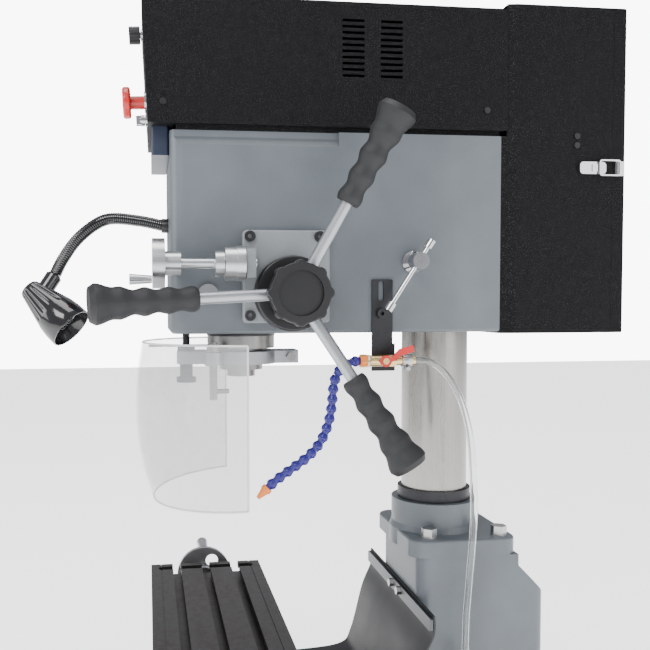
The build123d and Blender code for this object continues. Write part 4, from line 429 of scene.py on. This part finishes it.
def turned(bm, profile, origin, axis, steps=48, ripple=None):
    """Add a closed lathe form: profile is (radius, distance along the axis)."""
    axis = Vector(axis).normalized()
    side = axis.orthogonal().normalized()
    other = axis.cross(side)
    rings = []
    for radius, distance in profile:
        foot = Vector(origin) + axis * distance
        if radius < 1e-7:
            rings.append([bm.verts.new(foot)])
            continue
        ring = []
        for i in range(steps):
            angle = 2 * math.pi * i / steps
            reach = radius + (ripple(angle, radius, distance) if ripple else 0)
            ring.append(bm.verts.new(foot + (side * math.cos(angle) + other * math.sin(angle)) * reach))
        rings.append(ring)
    for a, b in zip(rings, rings[1:]):
        for i in range(steps):
            j = (i + 1) % steps
            if len(a) == 1 and len(b) > 1:
                bm.faces.new((a[0], b[i], b[j]))
            elif len(b) == 1 and len(a) > 1:
                bm.faces.new((a[i], b[0], a[j]))
            elif len(a) > 1:
                bm.faces.new((a[i], b[i], b[j], a[j]))
    return bm


def block(bm, middle, size, turn=None):
    """Add a box with a small chamfer all round."""
    made = bmesh.ops.create_cube(bm, size=1.0)["verts"]
    matrix = Matrix.Translation(Vector(middle)) @ (turn or Matrix.Identity(4)) @ Matrix.Diagonal((*size, 1))
    bmesh.ops.transform(bm, matrix=matrix, verts=made)
    edges = list({edge for vert in made for edge in vert.link_edges})
    bmesh.ops.bevel(bm, geom=edges, offset=min(size) * 0.12, segments=2, affect="EDGES")
    return bm


def smooth_route(points, steps):
    """Points along a smooth curve through the given ones."""
    points = [Vector(p) for p in points]
    line = []
    for i in range(len(points) - 1):
        a = points[max(i - 1, 0)]
        b, c = points[i], points[i + 1]
        d = points[min(i + 2, len(points) - 1)]
        for j in range(steps):
            t = j / steps
            line.append(0.5 * ((2 * b) + (c - a) * t + (2 * a - 5 * b + 4 * c - d) * t * t
                               + (3 * b - a - 3 * c + d) * t ** 3))
    line.append(points[-1])
    return line


def evened(line, pitch):
    """The same route with points a pitch apart."""
    out, left = [line[0]], pitch
    for a, b in zip(line, line[1:]):
        run = (b - a).length
        while run >= left:
            a = a + (b - a).normalized() * left
            run -= left
            left = pitch
            out.append(a)
        left -= run
    return out


def swept(bm, line, radius_at, steps=20):
    """Add a closed tube along a route."""
    side = (line[1] - line[0]).normalized().orthogonal().normalized()
    rings = []
    for i, point in enumerate(line):
        along = (line[min(i + 1, len(line) - 1)] - line[max(i - 1, 0)]).normalized()
        side = (side - along * side.dot(along)).normalized()
        other = along.cross(side)
        radius = radius_at(i)
        rings.append([bm.verts.new(point + (side * math.cos(2 * math.pi * k / steps)
                                            + other * math.sin(2 * math.pi * k / steps)) * radius)
                      for k in range(steps)])
    for a, b in zip(rings, rings[1:]):
        for k in range(steps):
            j = (k + 1) % steps
            bm.faces.new((a[k], a[j], b[j], b[k]))
    bm.faces.new(rings[0][::-1])
    bm.faces.new(rings[-1])
    return bm


def spline_line(points):
    """Points along the smooth spline that has the given control points."""
    curve = bpy.data.curves.new("Route", "CURVE")
    curve.dimensions = "3D"
    spline = curve.splines.new("NURBS")
    spline.points.add(len(points) - 1)
    for point, place in zip(spline.points, points):
        point.co = (*place, 1)
    spline.order_u = 3
    spline.use_endpoint_u = True
    spline.resolution_u = 10
    holder = bpy.data.objects.new("Route", curve)
    bpy.context.scene.collection.objects.link(holder)
    bpy.context.view_layer.update()
    mesh = bpy.data.meshes.new_from_object(holder)
    line = [vertex.co.copy() for vertex in mesh.vertices]
    bpy.data.objects.remove(holder)
    bpy.data.meshes.remove(mesh)
    return line


def hollow_tube(bm, line, outer, inner, steps=24):
    """Add a tube with a bore, closed at both ends by its wall."""
    side = (line[1] - line[0]).normalized().orthogonal().normalized()
    walls = []
    for i, point in enumerate(line):
        along = (line[min(i + 1, len(line) - 1)] - line[max(i - 1, 0)]).normalized()
        side = (side - along * side.dot(along)).normalized()
        other = along.cross(side)
        spokes = [side * math.cos(2 * math.pi * k / steps) + other * math.sin(2 * math.pi * k / steps)
                  for k in range(steps)]
        walls.append([[bm.verts.new(point + spoke * radius) for spoke in spokes] for radius in (outer, inner)])
    for a, b in zip(walls, walls[1:]):
        for k in range(steps):
            j = (k + 1) % steps
            bm.faces.new((a[0][k], a[0][j], b[0][j], b[0][k]))
            bm.faces.new((a[1][k], b[1][k], b[1][j], a[1][j]))
    for wall in (walls[0], walls[-1]):
        for k in range(steps):
            j = (k + 1) % steps
            bm.faces.new((wall[0][k], wall[1][k], wall[1][j], wall[0][j]))
    return bm


# ---- operators -------------------------------------------------------------------------------
class DRILL_OT_stage(bpy.types.Operator):
    """Floor, backdrop and soft lights."""
    bl_idname = "drill.stage"
    bl_label = "Stage"

    def execute(self, context):
        f = Finish("Pale floor")
        f.set(Base_Color=(0.90, 0.90, 0.90), Roughness=0.8,
              Emission_Color=(1.0, 1.0, 1.0), Emission_Strength=1.9)
        bm = bmesh.new()
        bmesh.ops.create_grid(bm, x_segments=1, y_segments=1, size=9)
        mesh = bpy.data.meshes.new("Floor")
        bm.to_mesh(mesh)
        bm.free()
        mesh.materials.append(f.material)
        floor = bpy.data.objects.new("Floor", mesh)
        context.scene.collection.objects.link(floor)
        floor.location.z = -0.001
        world = bpy.data.worlds.new("Studio")
        context.scene.world = world
        world.use_nodes = True
        background = next(n for n in world.node_tree.nodes if n.type == "BACKGROUND")
        background.inputs["Color"].default_value = (0.93, 0.95, 1.0, 1)
        background.inputs["Strength"].default_value = 0.62
        tree = world.node_tree
        # What the camera sees behind the machine is brighter than what lights it.
        seen = tree.nodes.new("ShaderNodeBackground")
        seen.inputs["Color"].default_value = (1, 1, 1, 1)
        seen.inputs["Strength"].default_value = 9.0
        path = tree.nodes.new("ShaderNodeLightPath")
        mix = tree.nodes.new("ShaderNodeMixShader")
        out = next(n for n in tree.nodes if n.type == "OUTPUT_WORLD")
        tree.links.new(path.outputs["Is Camera Ray"], mix.inputs[0])
        tree.links.new(background.outputs[0], mix.inputs[1])
        tree.links.new(seen.outputs[0], mix.inputs[2])
        tree.links.new(mix.outputs[0], out.inputs["Surface"])
        # Name, position, what it looks at, size, power.
        lamps = (("Key", (2.4, -1.6, 2.9), (0, -0.1, 0.75), 1.6, 62),
                 ("Fill", (2.6, 2.2, 1.4), (0, 0.1, 0.7), 2.2, 26),
                 ("Top", (0.3, -0.2, 3.4), (0, 0, 0.8), 2.0, 45),
                 ("Front", (0.2, -3.2, 1.5), (0, 0, 0.8), 1.8, 30))
        for name, place, target, size, power in lamps:
            data = bpy.data.lights.new(name, "AREA")
            data.shape = "RECTANGLE"
            data.size = size
            data.size_y = size * 0.7
            data.energy = power
            light = bpy.data.objects.new(name, data)
            context.scene.collection.objects.link(light)
            light.location = place
            light.rotation_euler = (Vector(target) - Vector(place)).to_track_quat("-Z", "Y").to_euler()
        return {"FINISHED"}


class DRILL_OT_camera(bpy.types.Operator):
    """Camera at the operator's right."""
    bl_idname = "drill.camera"
    bl_label = "Camera"

    def execute(self, context):
        yaw, pitch, roll = 0.133, 0.045, -0.004    # radians; yaw is from -X towards +Y
        forward = Vector((-math.cos(yaw) * math.cos(pitch), math.sin(yaw) * math.cos(pitch), -math.sin(pitch)))
        right = Vector((math.sin(yaw), math.cos(yaw), 0))
        up = right.cross(forward)
        across = right * math.cos(roll) + up * math.sin(roll)
        data = bpy.data.cameras.new("Camera")
        data.sensor_width = 36
        data.lens = 45.18
        data.shift_x = 0.105
        data.shift_y = 0.024
        camera = bpy.data.objects.new("Camera", data)
        context.scene.collection.objects.link(camera)
        turn = Matrix((across, across.cross(forward), -forward)).transposed()
        camera.matrix_world = Matrix.Translation((1.4106, -0.3657, 0.7953)) @ turn.to_4x4()
        context.scene.camera = camera
        return {"FINISHED"}


class DRILL_OT_hoses(bpy.types.Operator):
    """Clear coolant hoses between the valve, the joiner and the inlet."""
    bl_idname = "drill.hoses"
    bl_label = "Hoses"

    def execute(self, context):
        for name, points, node, ends in (("Upper hose", HOSE_UPPER, "hose_upper", ("head", "rack")),
                                         ("Lower hose", HOSE_LOWER, "hose_lower", ("rack", "base"))):
            line = spline_line(points)
            bm = bmesh.new()
            hollow_tube(bm, line, HOSE_R, HOSE_R * HOSE_BORE_SHARE)
            piece = make_piece(name.replace(" ", "_"), bm, "vinyl", None)
            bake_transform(piece)
            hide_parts(node)
        return {"FINISHED"}


class DRILL_OT_finishes(bpy.types.Operator):
    """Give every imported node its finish, and round machined edges."""
    bl_idname = "drill.finishes"
    bl_label = "Finishes"

    def execute(self, context):
        build_finishes()
        for finish, names in NODE_FINISH.items():
            for name in names:
                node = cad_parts[name]
                node.data.materials.clear()
                node.data.materials.append(FINISHES[finish].material)
        for name in BEVELLED:
            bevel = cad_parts[name].modifiers.new("Edge", "BEVEL")
            bevel.width = sizes().edge
            bevel.segments = 2
            bevel.limit_method = "ANGLE"
            bevel.angle_limit = math.radians(35)
            bevel.harden_normals = False
        return {"FINISHED"}


class DRILL_OT_lamp(bpy.types.Operator):
    """Ribbed gooseneck, its socket, and the fluted lamp."""
    bl_idname = "drill.lamp"
    bl_label = "Lamp"

    def execute(self, context):
        s = sizes()
        line = evened(smooth_route(NECK_ROUTE, 24), s.neck_rib / 4)
        bm = bmesh.new()
        swept(bm, line, lambda i: s.neck_radius * (1 - 0.09 * (0.5 + 0.5 * math.cos(math.pi * i / 2))), 24)
        neck = make_piece("Gooseneck", bm, "gloss", "head")
        bm = bmesh.new()
        turned(bm, [(0, 0), (0.0122, 0), (0.0122, 0.0095), (0.0115, 0.0115), (0.0098, 0.0118), (0, 0.0118)],
               (0, NECK_ROUTE[0][1] + 0.010, NECK_ROUTE[0][2]), FRONT, 40)
        make_piece("Gooseneck_socket", bm, "black", "head")
        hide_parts("lamp_arm")
        end = Vector(NECK_ROUTE[-1])
        cup = (LAMP_BACK + LAMP_AIM * 0.025 - end)
        bm = bmesh.new()
        turned(bm, [(0, 0.0006), (0.0095, 0.0006), (0.013, 0.004), (0.013, cup.length - 0.016),
                    (0, cup.length - 0.016)],
               end, cup, 40)
        count = s.flutes

        def flute(angle, radius, distance):
            share = (distance - 0.006) / 0.056
            if not 0 < share < 1 or radius < 0.017:
                return 0
            return -0.0022 * math.sin(math.pi * share) ** 0.4 * abs(math.cos(count * angle / 2)) ** 6

        profile = [(0, 0), (0.0125, 0), (0.0155, 0.0012), (0.0172, 0.0040)]
        profile += [(0.0178 + 0.0150 * k / 14, 0.006 + 0.056 * k / 14) for k in range(15)]
        profile += [(0.0332, 0.0635), (0.0355, 0.080), (0.0359, 0.098), (0.0352, 0.0995), (0.0338, 0.0992),
                    (0.0318, 0.090), (0.0272, 0.0805), (0.0268, 0.078), (0, 0.078)]
        turned(bm, profile, LAMP_BACK, LAMP_AIM, count * 16, flute)
        head = make_piece("Lamp_shade", bm, "gloss", "lamp")
        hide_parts("lamp_head")
        bm = bmesh.new()
        turned(bm, [(0, 0.0784), (0.0250, 0.0784), (0.0250, 0.0815), (0.0225, 0.0815), (0.0215, 0.0800),
                    (0.0195, 0.0805), (0.0120, 0.0826), (0, 0.0832)], LAMP_BACK, LAMP_AIM, 48)
        turned(bm, [(0.0106, 0.0827), (0.0114, 0.0834), (0.0122, 0.0827)], LAMP_BACK, LAMP_AIM, 48)
        make_piece("Lamp_lens", bm, "lens", "lamp")
        return {"FINISHED"}


class DRILL_OT_coolant(bpy.types.Operator):
    """Jointed hose links and the small fittings of the coolant valve."""
    bl_idname = "drill.coolant"
    bl_label = "Coolant fittings"

    def execute(self, context):
        bm = bmesh.new()
        stops = [Vector((LINK_X, y, z)) for y, z in LINK_LINE]
        for here, there in zip(stops, stops[1:]):
            along = there - here
            turned(bm, [(radius, share * along.length) for radius, share in LINK_PROFILE], here, along, 32)
        links = make_piece("Hose_links", bm, "blue", "head")
        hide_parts("jointed_hose")
        lo, hi = low("coolant_valve"), high("coolant_valve")
        length = hi.y - lo.y
        front = Vector((LINK_X, lo.y, LINK_LINE[0][1]))
        bm = bmesh.new()
        turned(bm, [(0, -0.0004), (0.0098, -0.0004), (0.0104, 0.0006), (0.0104, 0.0100), (0.0098, 0.0110),
                    (0, 0.0110)],
               front, BACK, 8)
        make_piece("Hose_nut", bm, "orange", "head", smooth=False)
        bm = bmesh.new()
        turned(bm, [(0, 0.0112), (0.0097, 0.0112), (0.0099, 0.0125), (0.0097, 0.0142), (0, 0.0142)],
               front, BACK, 32)
        make_piece("Thread_tape", bm, "tape", "head")
        bm = bmesh.new()
        start, end = length * 0.76, length * 0.94
        turned(bm, [(0, start), (0.0098, start), (0.0101, start + 0.0004), (0.0101, end - 0.0004),
                    (0.0098, end), (0, end)],
               front, BACK, 40)
        middle = front + BACK * (start + end) / 2
        block(bm, middle + Vector((0.002, 0, -0.0125)), (0.012, 0.0078, 0.0062))
        turned(bm, [(0, 0), (0.0034, 0), (0.0036, 0.0006), (0.0036, 0.0040), (0, 0.0040)],
               middle + Vector((0.008, 0, -0.0125)), (1, 0, 0), 6)
        make_piece("Hose_clamp", bm, "zinc", "head")
        bm = bmesh.new()
        guide = centre("quill_guide")
        reach = (high("quill_guide").x - low("quill_guide").x) / 2 + 0.0004
        foot = low("head_casting").z
        turned(bm, [(0, 0.0004), (reach, 0.0004), (reach + 0.0006, 0.0012), (reach + 0.0006, 0.0062),
                    (reach, 0.0070), (0, 0.0070)], (guide.x, guide.y, foot), (0, 0, -1), 72)
        make_piece("Quill_seal", bm, "black", "head")
        return {"FINISHED"}


class DRILL_OT_guard(bpy.types.Operator):
    """Clear chip guard, bowed in height as a formed sheet is, with a painted highlight along its cut edges."""
    bl_idname = "drill.guard"
    bl_label = "Guard"

    def point(self, share, rise, inset=0.0):
        """A point of the sheet: share of the way round, rise from its lower edge."""
        angle = math.radians(GUARD_START + GUARD_SPAN * share)
        middle = math.sin(math.pi * share)
        at = min(rise * 6, 5.999)
        step, part = int(at), at - int(at)
        swell = (GUARD_BOW[step] * (1 - part) + GUARD_BOW[step + 1] * part) * middle ** 1.5
        radius = GUARD_RADIUS + swell - inset
        foot = GUARD_FOOT - GUARD_DROOP * middle
        z = foot + (GUARD_TOP - foot) * rise
        return Vector((radius * math.cos(angle), GUARD_Y + radius * math.sin(angle), z))

    def execute(self, context):
        around, up = 56, 24
        bm = bmesh.new()
        skins = []
        for inset in (0.0, GUARD_WALL):
            skins.append([[bm.verts.new(self.point(i / around, j / up, inset)) for j in range(up + 1)]
                          for i in range(around + 1)])
        outer, inner = skins
        for grid in skins:
            for i in range(around):
                for j in range(up):
                    bm.faces.new((grid[i][j], grid[i + 1][j], grid[i + 1][j + 1], grid[i][j + 1]))
        for i in range(around):
            for j in (0, up):
                bm.faces.new((outer[i][j], outer[i + 1][j], inner[i + 1][j], inner[i][j]))
        for j in range(up):
            for i in (0, around):
                bm.faces.new((outer[i][j], outer[i][j + 1], inner[i][j + 1], inner[i][j]))
        sheet = make_piece("Guard_sheet", bm, "sheet", "guard")
        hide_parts("guard_shield")
        # Thin pale tubes along the sheet's four edges: painted highlight of the cut edges.
        bm = bmesh.new()
        half = GUARD_WALL / 2
        level = [i / around for i in range(around + 1)]
        upright = [j / up for j in range(up + 1)]
        for route in ([(share, 0.0) for share in level], [(share, 1.0) for share in level],
                      [(0.0, rise) for rise in upright], [(1.0, rise) for rise in upright]):
            swept(bm, [self.point(share, rise, half) for share, rise in route], lambda i: 0.0017, 8)
        make_piece("Guard_edge_highlight", bm, "painted_edge_highlight", "guard")
        bm = bmesh.new()
        wall_y = GUARD_Y - math.sqrt((GUARD_RADIUS - GUARD_WALL) ** 2 - GUARD_STRAP_X ** 2)
        reach = GUARD_STRAP_Y - wall_y
        block(bm, (GUARD_STRAP_X, GUARD_STRAP_Y - reach / 2 - 0.003, GUARD_STRAP_Z),
              (0.016, reach - 0.010, 0.003))
        turned(bm, [(0.0070, 0), (0.012, 0), (0.012, 0.003), (0.0070, 0.003), (0.0070, 0)],
               (GUARD_STRAP_X, GUARD_STRAP_Y, GUARD_STRAP_Z - 0.0015), (0, 0, 1), 40)
        make_piece("Guard_strap", bm, "zinc", "guard")
        return {"FINISHED"}


class DRILL_OT_apron(bpy.types.Operator):
    """Rubber way cover hanging from its strip to the saddle."""
    bl_idname = "drill.apron"
    bl_label = "Apron"

    def execute(self, context):
        lo, hi = low("way_cover_sheet"), high("way_cover_sheet")
        thick = 0.003
        back = hi.y - thick / 2
        front = lo.y + 0.002
        corners = [(back, hi.z), (back, hi.z - 0.030), (back - 0.018, hi.z - 0.075), (0.040, lo.z + 0.040),
                   (0.018, lo.z + 0.010), (front + 0.08, lo.z + thick / 2), (front, lo.z + thick / 2)]
        line = smooth_route([(0, y, z) for y, z in corners], 10)
        columns = 49
        bm = bmesh.new()
        rows = []
        for side in (0, 1):
            grid = []
            for j in range(columns):
                x = lo.x + (hi.x - lo.x) * j / (columns - 1)
                column = []
                for i, point in enumerate(line):
                    nxt, prv = line[min(i + 1, len(line) - 1)], line[max(i - 1, 0)]
                    along = (nxt - prv).normalized()
                    normal = Vector((0, along.z, -along.y)) * -1
                    share = i / (len(line) - 1)
                    wave = 0.0016 * math.sin(x * 21 + 1.1) * math.sin(math.pi * share) ** 2
                    place = Vector((x, point.y, point.z)) + normal * (wave + thick * (side - 0.5))
                    column.append(bm.verts.new(place))
                grid.append(column)
            rows.append(grid)
        for side, grid in enumerate(rows):
            for a, b in zip(grid, grid[1:]):
                for i in range(len(line) - 1):
                    bm.faces.new((a[i], b[i], b[i + 1], a[i + 1]))
        for j in (0, columns - 1):
            for i in range(len(line) - 1):
                bm.faces.new((rows[0][j][i], rows[0][j][i + 1], rows[1][j][i + 1], rows[1][j][i]))
        for i in (0, len(line) - 1):
            for j in range(columns - 1):
                bm.faces.new((rows[0][j][i], rows[0][j + 1][i], rows[1][j + 1][i], rows[1][j][i]))
        piece = make_piece("Apron", bm, "rubber", None)
        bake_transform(piece)
        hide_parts("way_cover_sheet")
        length = sum((b - a).length for a, b in zip(line, line[1:]))
        return {"FINISHED"}


class DRILL_PT_panel(bpy.types.Panel):
    """Sidebar list of the looks' operators."""
    bl_idname = "DRILL_PT_panel"
    bl_label = "Mill drill"
    bl_space_type = "VIEW_3D"
    bl_region_type = "UI"
    bl_category = "Mill drill"

    def draw(self, context):
        for operator in OPERATORS:
            self.layout.operator(operator.bl_idname)
        for group in (context.scene.drill_colours, context.scene.drill_sizes):
            for name in group.__annotations__:
                self.layout.prop(group, name)


OPERATORS = (DRILL_OT_camera, DRILL_OT_finishes, DRILL_OT_hoses, DRILL_OT_apron, DRILL_OT_lamp,
             DRILL_OT_coolant, DRILL_OT_guard, DRILL_OT_stage)
CLASSES = (DrillColours, DrillSizes, *OPERATORS, DRILL_PT_panel)


def register():
    for cls in CLASSES:
        bpy.utils.register_class(cls)
    bpy.types.Scene.drill_colours = bpy.props.PointerProperty(type=DrillColours)
    bpy.types.Scene.drill_sizes = bpy.props.PointerProperty(type=DrillSizes)


def unregister():
    del bpy.types.Scene.drill_colours
    del bpy.types.Scene.drill_sizes
    for cls in reversed(CLASSES):
        bpy.utils.unregister_class(cls)


def main():
    """Make the whole scene."""
    register()
    for operator in OPERATORS:
        group, name = operator.bl_idname.split(".")
        getattr(getattr(bpy.ops, group), name)()


if __name__ == "__main__":
    main()
